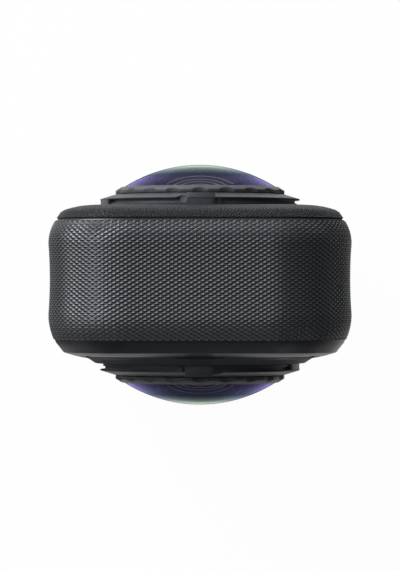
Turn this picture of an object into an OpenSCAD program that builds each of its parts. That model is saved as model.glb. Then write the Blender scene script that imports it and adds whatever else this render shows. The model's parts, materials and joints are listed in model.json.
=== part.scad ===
// Pocket 360 degree camera: a tall bar with a fisheye lens on the front and another on the back.
// Millimetres. X runs across the body, Y runs along the lens axes (front is -Y), Z runs up.
// The origin is the mouth of the tripod thread, on the foot that the camera stands on.

/* [Body] */
// Width of the body across its sides, under the grip texture
body_w = 45.7; // [45:0.1:48]
// Height of the body from the foot to the top end
body_h = 114; // [112:1:124]
// Radius of the body's corners, seen from the front
corner_r = 12; // [11:0.5:12.5]
// Distance from the lens midplane to the flat of the back cover
back_reach = 12.05; // [11.9:0.05:12.3]
// How much nearer the front panel's flat lies to the lens midplane than the back cover's flat
panel_step = 0.7; // [0.6:0.05:0.9]
// Depth of the shallow grip hollow along each side
waist_depth = 0.22; // [0.1:0.02:0.4]
// Thickness of the housing's side walls
wall = 2; // [1.8:0.1:2.2]
// Width of the seam between the housing and the back cover
seam_w = 0.3; // [0.2:0.05:0.4]
// Thickness of the back cover
cover_t = 1.5; // [1.3:0.1:1.7]

/* [Lenses] */
// Distance between the tops of the two glass domes
lens_span = 37; // [36.6:0.1:38]
// Distance of the lens axis below the top end
lens_drop = 22; // [21.5:0.5:24]
// Outer radius of the bayonet lip for a lens guard
lip_r = 15.4; // [15.2:0.1:15.8]
// Radius of the wall under the bayonet lip
undercut_r = 14.65; // [14.5:0.05:14.8]
// Outer radius of the scalloped lens ring
ring_r = 13.07; // [12.9:0.05:13.2]
// Number of scallops round the lens ring
scallops = 20; // [16:1:24]
// Radius of the glass dome at its rim
dome_rim_r = 12; // [11.9:0.05:12.1]
// Radius of the ball that the dome is cut from
dome_ball_r = 21.8; // [21.2:0.1:23]
// Twist that frees a lens ring from its bayonet, in degrees
lens_twist = 40; // [36:1:44]

/* [Screen] */
// Border of the front panel on each side of the touchscreen
screen_border = 2.4; // [2:0.1:4]
// Height of the touchscreen's lower edge above the foot
screen_low_z = 21; // [20.5:0.5:24]
// Thickness of the touchscreen glass
screen_t = 0.8; // [0.6:0.1:0.9]

/* [Controls] */
// Radius of the two round front buttons
front_button_r = 4.5; // [4:0.1:4.8]
// Distance of each front button's centre from the panel's side edge
front_button_in = 10.2; // [9.8:0.1:10.6]
// Length of each side button
side_button_l = 9; // [8:0.5:10]
// Width of each side button
side_button_w = 4; // [3.5:0.25:4.5]
// Travel of a button
button_travel = 0.5; // [0.4:0.05:0.5]

/* [Battery] */
// Width of the battery door
door_w = 14; // [13.6:0.1:14.2]
// Thickness of the battery pack
battery_t = 11.6; // [11:0.1:11.8]
// Height of the shelf for the memory card above the battery
card_room = 5; // [4.6:0.1:6]
// Travel of a battery latch
latch_travel = 1.8; // [1.6:0.1:2]

/* [Tripod mount] */
// Radius of the tripod thread
thread_r = 3.175; // [3:0.025:3.3]
// Depth of the tripod thread
thread_depth = 7.2; // [6:0.2:8]
// Length of the metal foot plate
foot_l = 26; // [24:0.5:28]
// Width of the metal foot plate
foot_w = 13; // [12:0.5:13]
// Height that the foot plate stands below the housing
foot_proud = 0.5; // [0.4:0.1:0.8]

/* [Hidden] */
$fn = 96;
eps = 0.01;
fit = 0.1;
slip = 0.15;

// Outline of the body, drawn outward from the centre of a corner
half_w = body_w / 2;
corner_x = half_w - corner_r;
corner_low = foot_proud + corner_r;
corner_high = body_h - corner_r;
lens_z = body_h - lens_drop;
front_reach = back_reach - panel_step;
part_y = back_reach - 2.15;
back_round_start = part_y - 3.6;
back_round_r = 6;
front_round_end = front_reach - 2.6;
front_round_start = front_round_end - 4.25;
front_round_r = 9;
front_chamfer_w = 1.15;
front_crown_drop = 1.15;
front_crown_w = 6.9;
cover_crown_drop = 0.73;
cover_crown_w = 4.4;
grip_y = (back_round_start - front_round_start) / 2;
grip_span = back_round_start + front_round_start;
waist_r = arc_radius(grip_span / 2, waist_depth);
rim_y = part_y - seam_w / 2;
cover_edge_y = part_y + seam_w / 2;
front_crown_y = front_reach - front_crown_drop;
front_round_in = arc_drop(front_round_r, front_round_end - front_round_start);
front_crown_in = front_round_in + front_chamfer_w;
rim_in = arc_drop(back_round_r, rim_y - back_round_start);

// Back cover
cover_in = rim_in + 0.05;
cover_bend_w = 0.62;
cover_bend_y = back_reach - 1.1;
cover_chamfer_w = 1.22;
cover_crown_y = back_reach - cover_crown_drop;
cover_crown_in = cover_in + cover_chamfer_w;
cover_inner_y = back_reach - cover_t;
cover_lip_in = wall + fit;
cover_lip_t = 1.1;
cover_lip_h = 1.4;
gasket_in = rim_in + 0.25;

// Front panel and the wall behind it
panel_in = 4.45;
panel_gap = 0.15;
panel_back_y = front_reach - 1.45;
wall_back_y = panel_back_y - 1.4;
inner_x = half_w - wall;
floor_z = foot_proud + wall;

// Lens stack, measured outward along the lens axis from the midplane
seat_a = back_reach;
collar_a = seat_a + 0.45;
lip_under_a = seat_a + 0.97;
lip_edge_a = lip_under_a + 0.17;
mount_top_a = seat_a + 1.82;
mount_foot_a = seat_a - 2.55;
mount_floor_a = mount_foot_a + 1.3;
spigot_r = 14.1;
collar_r = undercut_r + 0.3;
lead_l = 1.75;
mount_hole_r = spigot_r + fit;
mount_bore_r = 11.6;
groove_r = mount_bore_r + 1;
groove_low_a = mount_floor_a + 0.2;
groove_high_a = groove_low_a + 1;
throat_r = 9.25;
tab_angle = 30;
tab_gap_angle = 4;
ring_low_a = groove_low_a + fit;
ring_spigot_r = mount_bore_r - 0.2;
ring_under_a = mount_top_a + fit;
ring_edge_a = ring_under_a + 0.49;
ring_top_a = ring_under_a + 1.08;
scallop_r = 2.2;
scallop_centre_r = ring_r + 1.82;
seal_r = 0.38;
seal_a = ring_under_a - 0.87;
seal_groove = 0.8;
dome_top_a = lens_span / 2;
dome_step_a = ring_under_a + 0.23;
dome_low_a = dome_step_a - 1.6;
dome_step_r = dome_rim_r - 2.1;
dome_hollow_r = 8;
dome_centre_t = 2.1;
dome_bore_r = 9.2;
barrel_flange_r = 16.3;
barrel_flange_low_a = mount_foot_a - 1.1;
barrel_top_a = mount_floor_a + 1.5;
barrel_r = throat_r - slip;
barrel_tube_r = 7.4;
clamp_ring_r = 16.5;
plateau_top_r = 16.2;
plateau_slope = 1.53;
plateau_rise = seat_a - panel_back_y - 0.35;
inner_lens_r = 6.3;
inner_lens_ball_r = 7.5;
inner_lens_low_a = mount_foot_a - 0.1;
inner_lens_top_a = inner_lens_low_a + 6.6;
relay_r = 4.2;
relay_low_a = 5;
relay_top_a = 7.3;
relay_ball_r = 6;
chassis_half_t = 2;
chassis_low_z = lens_z - 20.5;
chassis_high_z = lens_z + 17.6;
pad_t = 0.4;
pad_w = 14;
board_t = 0.8;
sensor_board_low_a = chassis_half_t + pad_t;
sensor_low_a = sensor_board_low_a + board_t;
sensor_t = 0.9;
sensor_w = 10.6;
sensor_h = 9;
barrel_foot = 15;
barrel_foot_top_a = sensor_low_a + 1.7;
sensor_board_w = 24;
lens_screw_circle_r = 12.7;
lens_screws = 3;
screw_r = 0.6;
screw_hole_r = 0.65;
screw_head_r = 1.2;
screw_head_t = 0.8;

// Stops, lead-ins, high stop and rib on the bayonet, in degrees counterclockwise from outside
stop_angles = [[-23, 24.8], [82.3, 98.5], [232, 248]];
lead_in_angles = [-22.7, 82.6, 232.3];
high_stop_angles = stop_angles[1];
rib_angles = [99.9, 102.7];
tab_angles = [15, 135, 255];

// Screen, front buttons and lights
screen_r = 3;
screen_lens_gap = 21;
screen_w = 2 * (half_w - panel_in - screen_border);
screen_h = lens_z - screen_lens_gap - screen_low_z;
screen_z = screen_low_z + screen_h / 2;
window_edge = 1;
display_edge = 1.7;
display_t = 1.5;
front_button_z = 13;
front_button_x = half_w - panel_in - front_button_in;
front_button_proud = 0.6;
button_flange = 0.9;
button_flange_t = 0.6;
front_flange_y = panel_back_y - fit;
front_stem_y = front_flange_y - button_flange_t - 0.6;
front_switch_y = front_stem_y - button_travel - 0.1;
switch_t = 0.4;
switch_w = 3.4;
front_key_y = front_switch_y - switch_t;
stem_r = 1.4;
light_r = 0.8;
light_in = 9.65;
light_x = half_w - light_in;
light_z = lens_z - 16.6;

// Charging door on the left
usb_z = 26;
usb_y = grip_y;
usb_door_w = 11;
usb_door_above = 7.5;
usb_door_below = 7.8;
usb_door_top_z = usb_z + usb_door_above;
usb_pin_z = usb_z - usb_door_below;
usb_frame = 1.3;
usb_tongue_w = 6.7;
usb_tongue_t = 0.7;
io_board_h = 14;
usb_pin_r = 0.5;
usb_barrel_r = 1.4;
usb_pin_x = half_w - usb_barrel_r;
usb_door_t = 1.6;
usb_floor_t = 1.8;
usb_gap = 0.1;
usb_swing_gap = 0.3;
usb_socket_l = 7.3;
usb_socket_w = 8.94;
usb_socket_h = 3.26;
usb_socket_wall = 0.3;
usb_socket_x = inner_x - 0.1;

// Side buttons, shared out between the charging door and the lens chassis
side_key_low_z = usb_door_top_z;
side_key_room = chassis_low_z - side_key_low_z;
side_key_z = [side_key_low_z + 0.32 * side_key_room, side_key_low_z + 0.72 * side_key_room];
side_button_proud = 0.35;
side_flange_x = inner_x - fit;
side_stem_x = side_flange_x - button_flange_t - 0.5;
side_switch_x = side_stem_x - button_travel - 0.1;
side_key_x = side_switch_x - switch_t;
side_key_w = 7;
side_key_end = 6;

// Battery bay on the right, between the tripod mount and the lens chassis
bay_floor_gap = 14.1;
bay_chassis_gap = 3.5;
bay_low_z = floor_z + bay_floor_gap;
bay_high_z = chassis_low_z - bay_chassis_gap;
door_low_gap = 0.4;
door_high_gap = 1;
door_h = bay_high_z - bay_low_z - door_low_gap - door_high_gap;
door_z = bay_low_z + door_low_gap + door_h / 2;
door_r = 3;
door_gap = 0.15;
door_back_x = inner_x - 1.25;
door_y = grip_y;
bay_wall = 0.8;
bay_right_gap = 0.3;
socket_room = 7.65;
bay_left_x = socket_room - inner_x;
bay_right_x = door_back_x - bay_right_gap;
bay_clear = 0.2;
bay_front_y = door_y - battery_t / 2 - bay_clear - bay_wall;
bay_back_y = door_y + battery_t / 2 + bay_clear + bay_wall;
battery_h = door_h - card_room;
battery_r = 1.5;
battery_low_z = bay_low_z + bay_wall + bay_clear;
contact_t = 0.7;
contact_w = 8;
contact_h = 4;
contact_z = battery_low_z + 12;
battery_left_x = bay_left_x + bay_wall + contact_t + bay_clear;
rib_t = 1.2;
rib_w = 6;
card_l = 15;
card_w = 11;
card_t = 0.8;
card_grip = 3;
card_lift = 0.9;
socket_l = 13;
socket_w = 11.8;
socket_t = 2.4;
socket_slot = 0.05;
shelf_z = battery_low_z + battery_h + bay_clear;
shelf_t = 0.6;
door_seal_x = inner_x + 0.45;
door_seal_t = 0.8;
door_seal_depth = 0.8;
latch_w = 6;
latch_plate_t = 0.9;
latch_pad_l = 6;
latch_pad_w = 7;
latch_recess_t = 1.1;
latch_edge = 1.7;
latch_reach = 1.3;
latch_stem_l = 3;
latch_stem_w = 3;
latch_groove_w = 0.6;
latch_groove_pitch = 1.5;
latch_groove_depth = 0.4;
latch_top_z = door_h / 2 - door_gap;
latch_pad_high = latch_top_z - latch_edge - slip;
latch_pad_low = latch_pad_high - latch_pad_l;
latch_stem_z = (latch_pad_high + latch_pad_low) / 2;
latch_pad_x = half_w - latch_recess_t;
latch_tongue_x = inner_x - fit - latch_plate_t;

// Tripod mount
insert_r = 4.6;
insert_flange_r = 6;
insert_flange_t = 1;
insert_roof = 1;
foot_t = 1.2;
foot_r = 2;
foot_screw_x = foot_l / 2 - 3.6;
foot_screw_y = foot_w / 2 - 2.5;
foot_boss_h = 3;
foot_notch_l = 2;
foot_notch_w = 6;

// Boards
main_board_in = 4.95;
main_board_w = 2 * (half_w - main_board_in);
main_board_low_z = screen_low_z;
main_board_high_z = screen_low_z + screen_h - 1;
main_board_y = wall_back_y - 0.2;
main_board_t = 1;
board_post_r = 1.4;
board_screw_in = 1.45;
board_screw_up = 2.5;
board_screw_x = main_board_w / 2 - board_screw_in;
board_screw_z = [main_board_low_z + board_screw_up, main_board_high_z - board_screw_up];
can_side = 5.9;
can_step = 10;
can_end = 5;
can_gap = 3;
can_t = 1.2;
can_w = main_board_w - 2 * can_side;
can_room = main_board_high_z - main_board_low_z - 2 * can_end - can_gap;
spreader_t = 0.6;
spreader_w = main_board_w - 1.8;
chassis_in = 2.25;
chassis_w = 2 * (inner_x - chassis_in);
chassis_r = 5;
chassis_screw_in = 2.1;
chassis_screw_x = chassis_w / 2 - chassis_screw_in;
chassis_screw_dz = [-16.5, 15];
boss_r = 2;
key_board_w = main_board_w - 2.6;
key_board_h = 11;
key_post_in = 1;
key_post_x = [key_post_in - key_board_w / 2, 0, key_board_w / 2 - key_post_in];
mic_z = lens_z - 8;
mic_hole_r = 0.5;
mic_mesh_t = 0.2;
mic_mesh_r = 1.5;
mic_t = 1;
mic_w = 2.7;
mic_h = 3.5;
speaker_y = grip_y;
speaker_hole_z = 14.4;
speaker_hole_r = 0.55;
speaker_hole_pitch = 2.2;
speaker_gap = 0.3;
speaker_l = inner_x - speaker_gap - foot_screw_x - rib_t;
speaker_w = 8;
speaker_h = 4.8;
speaker_above = 1;
flex_t = 0.2;
flex_w = 6;
flex_side = 2;
flex_lap = 3;

function arc_radius(half_chord, drop) = (half_chord * half_chord + drop * drop) / (2 * drop);
function arc_drop(r, reach) = r - sqrt(r * r - reach * reach);

// Flat shapes
module box_2d(low, high) {
    translate(low) square(high - low);
}

module stadium(l, w) {
    square([l - w, w], center = true);
    for (side = [-1, 1]) translate([side * (l - w) / 2, 0]) circle(w / 2);
}

module rounded_rect(w, h, r) {
    square([w - 2 * r, h], center = true);
    square([w, h - 2 * r], center = true);
    for (x = [-1, 1], y = [-1, 1]) translate([x * (w / 2 - r), y * (h / 2 - r)]) circle(r);
}

// A flat shape in X and Z, pushed from y_low to y_high
module along_y(y_low, y_high) {
    translate([0, y_high, 0]) rotate([90, 0, 0]) linear_extrude(y_high - y_low) children();
}

// A flat shape in Y and Z, pushed from x_low to x_high
module along_x(x_low, x_high) {
    translate([x_low, 0, 0]) rotate([90, 0, 90]) linear_extrude(x_high - x_low) children();
}

// A flat profile carried round the body's outline. The profile runs outward from a corner's centre,
// and the middle is filled from y_low to y_high.
module round_body(y_low, y_high) {
    for (turn = [0:3]) {
        right = turn == 0 || turn == 1;
        top = turn == 0 || turn == 3;
        translate([right ? corner_x : -corner_x, 0, top ? corner_high : corner_low])
            rotate([-90, 0, 0]) rotate([0, 0, turn * 90 - 90]) rotate_extrude(angle = 90) children();
    }
    for (side = [0, 1]) mirror([side, 0, 0])
        translate([corner_x, 0, corner_low]) linear_extrude(corner_high - corner_low) children();
    translate([corner_x, 0, corner_high]) rotate([0, -90, 0]) linear_extrude(2 * corner_x) children();
    translate([-corner_x, 0, corner_low]) rotate([0, 90, 0]) linear_extrude(2 * corner_x) children();
    translate([-corner_x, y_low, corner_low])
        cube([2 * corner_x, y_high - y_low, corner_high - corner_low]);
}

// A ring that repeats a band of the body's outline, with an open middle
module band_body(in_outer, in_inner, y_low, y_high) {
    difference() {
        round_body(y_low, y_high) box_2d([0, y_low], [corner_r - in_outer, y_high]);
        round_body(y_low - 1, y_high + 1) box_2d([0, y_low - 1], [corner_r - in_inner, y_high + 1]);
    }
}

// Outer profile of the housing: rounded back edge, hollow side, rounded front edge, chamfer and crown
module housing_profile() {
    crown_in = front_crown_in + front_crown_w;
    difference() {
        union() {
            box_2d([0, -front_round_start], [corner_r, back_round_start]);
            box_2d([0, back_round_start], [corner_r - back_round_r, rim_y]);
            intersection() {
                translate([corner_r - back_round_r, back_round_start]) circle(back_round_r);
                box_2d([corner_r - back_round_r, back_round_start], [corner_r, rim_y]);
            }
            box_2d([0, -front_round_end], [corner_r - front_round_r, -front_round_start]);
            intersection() {
                translate([corner_r - front_round_r, -front_round_start]) circle(front_round_r);
                box_2d([corner_r - front_round_r, -front_round_end], [corner_r, -front_round_start]);
            }
            polygon([
                [0, -front_round_end], [0, -front_crown_y],
                [corner_r - front_crown_in, -front_crown_y], [corner_r - front_round_in,
                    -front_round_end]
            ]);
            box_2d([0, -front_reach], [corner_r - crown_in, -front_crown_y]);
            crown(crown_in, -1) box_2d([corner_r - crown_in, -front_reach],
                [corner_r - front_crown_in, -front_crown_y]);
        }
        translate([corner_r + waist_r - waist_depth, grip_y]) circle(waist_r, $fn = 360);
    }
}

// The part of a face that falls away in a wide arc towards the body's edge
module crown(flat_in, side) {
    reach = side > 0 ? back_reach : front_reach;
    r = side > 0 ? arc_radius(cover_crown_w, cover_crown_drop) : arc_radius(front_crown_w,
        front_crown_drop);
    intersection() {
        translate([corner_r - flat_in, side * (reach - r)]) circle(r, $fn = 360);
        children();
    }
}

module cavity_profile() {
    front_in = front_crown_in + 2.5;
    polygon([
        [0, -wall_back_y], [corner_r - front_in, -wall_back_y],
        [corner_r - wall, -front_round_start - 1.6], [corner_r - wall, back_reach], [0, back_reach]
    ]);
}

// Lens pieces are drawn along +Z, then turned to face the back; the front set is half a turn round Z
module face_back() {
    translate([0, 0, lens_z]) rotate([-90, 0, 0]) rotate([0, 0, 180]) children();
}

module face_front() {
    rotate([0, 0, 180]) face_back() children();
}

module ring_2d(r_low, r_high, a_low, a_high) {
    translate([r_low, a_low]) square([r_high - r_low, a_high - a_low]);
}

module sector(from, to) {
    rotate([0, 0, from]) rotate_extrude(angle = to - from) children();
}

// Shapes shared by the housing and by what fits into it
module door_shape(gap) {
    translate([door_y, door_z]) rounded_rect(door_w - 2 * gap, door_h - 2 * gap, door_r - gap);
}

module screen_shape(gap) {
    translate([0, screen_z]) rounded_rect(screen_w - 2 * gap, screen_h - 2 * gap, screen_r - gap / 2);
}

module side_key_shape(z, grow) {
    translate([usb_y, z]) rotate([0, 0, 90]) stadium(side_button_l + 2 * grow, side_button_w + 2 * grow);
}

module usb_opening_shape() {
    box_2d(
        [usb_y - usb_door_w / 2 - usb_gap, usb_pin_z - usb_barrel_r - usb_swing_gap],
        [usb_y + usb_door_w / 2 + usb_gap, usb_door_top_z + usb_gap]
    );
}

module usb_mouth_shape(grow) {
    translate([usb_y, usb_z]) rotate([0, 0, 90])
        stadium(usb_socket_w + 2 * grow, usb_socket_h + 2 * grow);
}

module foot_shape(gap) {
    rounded_rect(foot_l + 2 * gap, foot_w + 2 * gap, foot_r + gap);
}

module at_foot_screws() {
    for (x = [-foot_screw_x, foot_screw_x], y = [-foot_screw_y, foot_screw_y]) translate([x, y])
        children();
}

module at_board_screws() {
    for (x = [-board_screw_x, board_screw_x], z = board_screw_z) translate([x, z]) children();
}

module at_chassis_screws() {
    for (x = [-chassis_screw_x, chassis_screw_x], dz = chassis_screw_dz) translate([x, lens_z + dz])
        children();
}

module at_lens_screws() {
    for (i = [0:lens_screws - 1]) rotate([0, 0, 60 + i * 360 / lens_screws])
        translate([lens_screw_circle_r, 0]) children();
}

module at_speaker_holes() {
    for (i = [-1, 0, 1]) translate([speaker_y + i * speaker_hole_pitch, speaker_hole_z])
        children();
}

// Housing and covers
module main_housing() {
    color("dimgray") difference() {
        union() {
            difference() {
                round_body(-front_reach, rim_y) housing_profile();
                round_body(-wall_back_y, back_reach) cavity_profile();
            }
            along_y(-wall_back_y - eps, -chassis_half_t) at_chassis_screws() circle(boss_r);
            along_y(-wall_back_y - eps, -main_board_y) at_board_screws() circle(board_post_r);
            along_y(-wall_back_y - eps, -front_key_y) for (x = key_post_x)
                translate([x, front_button_z]) circle(board_post_r);
            translate([0, 0, floor_z - eps]) linear_extrude(foot_boss_h) at_foot_screws()
                circle(boss_r);
            along_x(-inner_x - eps, -inner_x + usb_floor_t)
                box_2d(
                    [usb_y - usb_door_w / 2 - usb_frame, usb_pin_z - usb_barrel_r - usb_frame],
                    [usb_y + usb_door_w / 2 + usb_frame, usb_door_top_z + usb_frame]
                );
        }
        round_body(-front_reach - 1, -panel_back_y)
            box_2d([0, -front_reach - 1], [corner_r - panel_in + panel_gap, -panel_back_y]);
        along_y(-front_reach, -wall_back_y + 1) translate([0, lens_z]) circle(barrel_flange_r + 0.4);
        along_y(-front_reach, -wall_back_y + 1) screen_shape(window_edge);
        along_y(-front_reach, -wall_back_y + 1)
            for (x = [-front_button_x, front_button_x]) translate([x, front_button_z])
                circle(front_button_r + button_flange + 0.4);
        along_y(-front_reach, -wall_back_y + 1) translate([light_x, light_z]) circle(light_r + 0.6);
        along_y(-panel_back_y - 1, -chassis_half_t + 1) at_chassis_screws() circle(screw_hole_r);
        along_y(-panel_back_y - 1, -wall_back_y + 1) at_board_screws() circle(screw_hole_r);
        along_x(inner_x - 1, half_w + 1) door_shape(0);
        along_x(-half_w - 1, -inner_x + 1) for (z = side_key_z) side_key_shape(z, fit);
        along_x(-half_w - 1, -inner_x) usb_opening_shape();
        along_x(-half_w - 1, -inner_x + usb_floor_t + 1) usb_mouth_shape(0.2);
        translate([-usb_pin_x, usb_y, usb_pin_z]) rotate([90, 0, 0])
            cylinder(h = usb_door_w + 2 * usb_gap, r = usb_barrel_r + 0.25, center = true);
        translate([-usb_pin_x, usb_y, usb_pin_z]) rotate([90, 0, 0])
            cylinder(h = usb_door_w + 2, r = usb_pin_r + 0.02, center = true);
        along_x(inner_x - 1, half_w + 1) at_speaker_holes() circle(speaker_hole_r);
        along_x(-half_w - 1, half_w + 1) translate([grip_y, mic_z]) circle(mic_hole_r);
        translate([0, 0, -1]) linear_extrude(foot_t + 1) foot_shape(slip);
        cylinder(h = floor_z + 1, r = insert_r + 0.05);
        linear_extrude(floor_z + foot_boss_h - 0.6) at_foot_screws() circle(screw_hole_r);
    }
}

module back_cover() {
    crown_in = cover_crown_in + cover_crown_w;
    color("gray") difference() {
        union() {
            round_body(cover_inner_y, back_reach) {
                box_2d([0, cover_inner_y], [corner_r - crown_in, back_reach]);
                crown(crown_in, 1) box_2d([corner_r - crown_in, cover_inner_y],
                    [corner_r - cover_crown_in, back_reach]);
                polygon([
                    [corner_r - crown_in, cover_inner_y], [corner_r - crown_in, cover_crown_y],
                    [corner_r - cover_crown_in, cover_crown_y], [corner_r - cover_in - cover_bend_w,
                        cover_bend_y],
                    [corner_r - cover_in, cover_edge_y],
                    [corner_r - cover_lip_in - cover_lip_t, cover_edge_y],
                    [corner_r - cover_lip_in - cover_lip_t, cover_inner_y]
                ]);
            }
            band_body(cover_lip_in, cover_lip_in + cover_lip_t, cover_edge_y - cover_lip_h,
                cover_inner_y);
            face_back() translate([0, 0, mount_foot_a])
                cylinder(h = cover_inner_y - mount_foot_a + eps, r = clamp_ring_r);
        }
        face_back() cylinder(h = back_reach + 1, r = mount_hole_r);
        along_y(cover_inner_y - 3, back_reach + 1) translate([-light_x, light_z]) circle(light_r + 0.05);
    }
}

module cover_gasket() {
    color("black") band_body(gasket_in, wall, rim_y, cover_edge_y);
}

module front_panel() {
    crown_in = front_crown_in + front_crown_w;
    color("black") difference() {
        union() {
            round_body(-front_reach, -panel_back_y) {
                box_2d([0, -front_reach], [corner_r - crown_in, -panel_back_y]);
                crown(crown_in, -1) box_2d([corner_r - crown_in, -front_reach], [corner_r - panel_in,
                    -panel_back_y]);
            }
            intersection() {
                face_front() translate([0, 0, seat_a - plateau_rise])
                    cylinder(h = plateau_rise, r1 = plateau_top_r + plateau_rise * plateau_slope,
                        r2 = plateau_top_r);
                round_body(-seat_a - 1, -panel_back_y)
                    box_2d([0, -seat_a - 1], [corner_r - panel_in, -panel_back_y]);
            }
            face_front() translate([0, 0, mount_foot_a])
                cylinder(h = panel_back_y - mount_foot_a + eps, r = barrel_flange_r);
        }
        face_front() cylinder(h = seat_a + 1, r = mount_hole_r);
        along_y(-front_reach - 1, -front_reach + screen_t) screen_shape(-fit);
        along_y(-front_reach - 1, -panel_back_y + 1) screen_shape(window_edge);
        along_y(-front_reach - 1, -panel_back_y + 1)
            for (x = [-front_button_x, front_button_x]) translate([x, front_button_z])
                circle(front_button_r + fit);
        along_y(-front_reach - 1, -panel_back_y + 1) translate([light_x, light_z])
            circle(light_r + 0.05);
    }
}

module screen_glass() {
    color("darkslategray") along_y(-front_reach, -front_reach + screen_t) screen_shape(0);
}

module display_panel() {
    color("midnightblue") along_y(-front_reach + screen_t, -front_reach + screen_t + display_t)
        screen_shape(display_edge);
}

// Tripod mount
module foot_plate() {
    color("silver") difference() {
        linear_extrude(foot_t) foot_shape(0);
        translate([0, 0, -1]) cylinder(h = foot_t + 2, r = insert_r + 0.05);
        translate([0, 0, -1]) linear_extrude(foot_t + 2) at_foot_screws() circle(screw_hole_r);
        translate([0, 0, -1]) linear_extrude(1 + screw_head_t) at_foot_screws()
            circle(screw_head_r + 0.05);
        for (side = [0, 1]) mirror([side, 0, 0])
            translate([foot_l / 2 - foot_notch_l, -foot_notch_w / 2, -1])
                cube([foot_notch_l + 1, foot_notch_w, foot_t + 2]);
    }
}

module thread_insert() {
    color("silver") difference() {
        union() {
            cylinder(h = thread_depth + insert_roof, r = insert_r);
            translate([0, 0, floor_z]) cylinder(h = insert_flange_t, r = insert_flange_r);
        }
        translate([0, 0, -1]) cylinder(h = thread_depth + 1, r = thread_r);
    }
}

module foot_screws() {
    color("silver") {
        translate([0, 0, 0.1]) linear_extrude(screw_head_t - 0.1) at_foot_screws() circle(screw_head_r);
        translate([0, 0, screw_head_t - eps]) linear_extrude(floor_z + foot_boss_h - 1.6)
            at_foot_screws()
            circle(screw_r);
    }
}

// One lens, drawn along +Z
module lead_in() {
    translate([undercut_r - 0.1, 0, 0]) rotate([90, 0, 90]) linear_extrude(2)
        polygon([[-lead_l, lip_under_a - 0.05], [0, lip_under_a - 0.05], [0, mount_top_a + 0.2]]);
}

module lens_mount() {
    seam_angle = 150;
    difference() {
        union() {
            rotate([0, 0, seam_angle]) rotate_extrude() polygon([
                [throat_r, mount_foot_a], [spigot_r, mount_foot_a], [spigot_r, seat_a], [collar_r,
                    seat_a],
                [collar_r, collar_a], [undercut_r, collar_a], [undercut_r, lip_under_a], [lip_r,
                    lip_under_a], [lip_r, lip_edge_a], [ring_r + 0.15,
                    mount_top_a],
                [mount_bore_r, mount_top_a], [mount_bore_r, groove_high_a], [groove_r, groove_high_a],
                [groove_r, groove_low_a], [mount_bore_r, groove_low_a], [mount_bore_r, mount_floor_a],
                [throat_r, mount_floor_a]
            ]);
            for (a = stop_angles)
                sector(a[0], a[1]) ring_2d(undercut_r - 0.2, lip_r - 0.05, seat_a, lip_under_a + 0.1);
            sector(high_stop_angles[0], high_stop_angles[1])
                ring_2d(undercut_r - 0.2, lip_r - 0.05, seat_a, mount_top_a - 0.03);
            sector(rib_angles[0], rib_angles[1])
                ring_2d(undercut_r - 0.2, lip_r - 0.2, seat_a, lip_under_a + 0.1);
        }
        for (a = lead_in_angles) rotate([0, 0, a]) lead_in();
        for (a = tab_angles)
            sector(a + lens_twist - tab_gap_angle / 2, a + lens_twist + tab_angle + tab_gap_angle / 2)
                ring_2d(mount_bore_r - 0.2, groove_r - 0.05, groove_high_a - 0.1, mount_top_a + 1);
        translate([0, 0, mount_foot_a - 1]) linear_extrude(2.1) at_lens_screws() circle(screw_hole_r);
    }
}

module lens_ring() {
    difference() {
        union() {
            rotate_extrude() polygon([
                [dome_bore_r + fit, ring_low_a], [ring_spigot_r, ring_low_a],
                [ring_spigot_r, seal_a - seal_groove / 2], [ring_spigot_r - seal_groove,
                    seal_a - seal_groove / 2],
                [ring_spigot_r - seal_groove, seal_a + seal_groove / 2], [ring_spigot_r,
                    seal_a + seal_groove / 2],
                [ring_spigot_r, ring_under_a], [ring_r, ring_under_a], [ring_r, ring_edge_a],
                [dome_rim_r + 0.15, ring_top_a],
                [dome_rim_r + 0.05, ring_top_a], [dome_rim_r + 0.05, dome_step_a],
                    [dome_step_r + 0.05, dome_step_a],
                [dome_step_r + 0.05, dome_low_a - 0.05], [dome_bore_r + fit, dome_low_a - 0.05]
            ]);
            for (a = tab_angles) sector(a, a + tab_angle)
                ring_2d(ring_spigot_r - 0.2, groove_r - 0.2, ring_low_a + 0.1, groove_high_a - fit);
        }
        for (i = [0:scallops - 1]) rotate([0, 0, i * 360 / scallops])
            translate([scallop_centre_r, 0, ring_under_a - 0.05]) cylinder(h = 3, r = scallop_r);
    }
}

module dome_glass() {
    rotate_extrude() difference() {
        union() {
            intersection() {
                translate([0, dome_top_a - dome_ball_r]) circle(dome_ball_r, $fn = 360);
                box_2d([0, dome_step_a], [dome_rim_r, dome_top_a + 1]);
            }
            box_2d([0, dome_low_a], [dome_step_r, dome_step_a]);
        }
        translate([0, dome_top_a - dome_centre_t - dome_hollow_r]) circle(dome_hollow_r, $fn = 360);
    }
}

module lens_seal() {
    rotate_extrude() translate([ring_spigot_r - seal_groove + seal_r + 0.02, seal_a]) circle(seal_r);
}

module inner_lens() {
    rotate_extrude() intersection() {
        translate([0, inner_lens_top_a - inner_lens_ball_r]) circle(inner_lens_ball_r, $fn = 360);
        box_2d([0, inner_lens_low_a], [inner_lens_r, inner_lens_top_a + 1]);
    }
}

module relay_lens() {
    rotate_extrude() intersection() {
        translate([0, relay_top_a - relay_ball_r]) circle(relay_ball_r, $fn = 360);
        box_2d([0, relay_low_a], [relay_r - 0.05, relay_top_a + 1]);
    }
}

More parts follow.
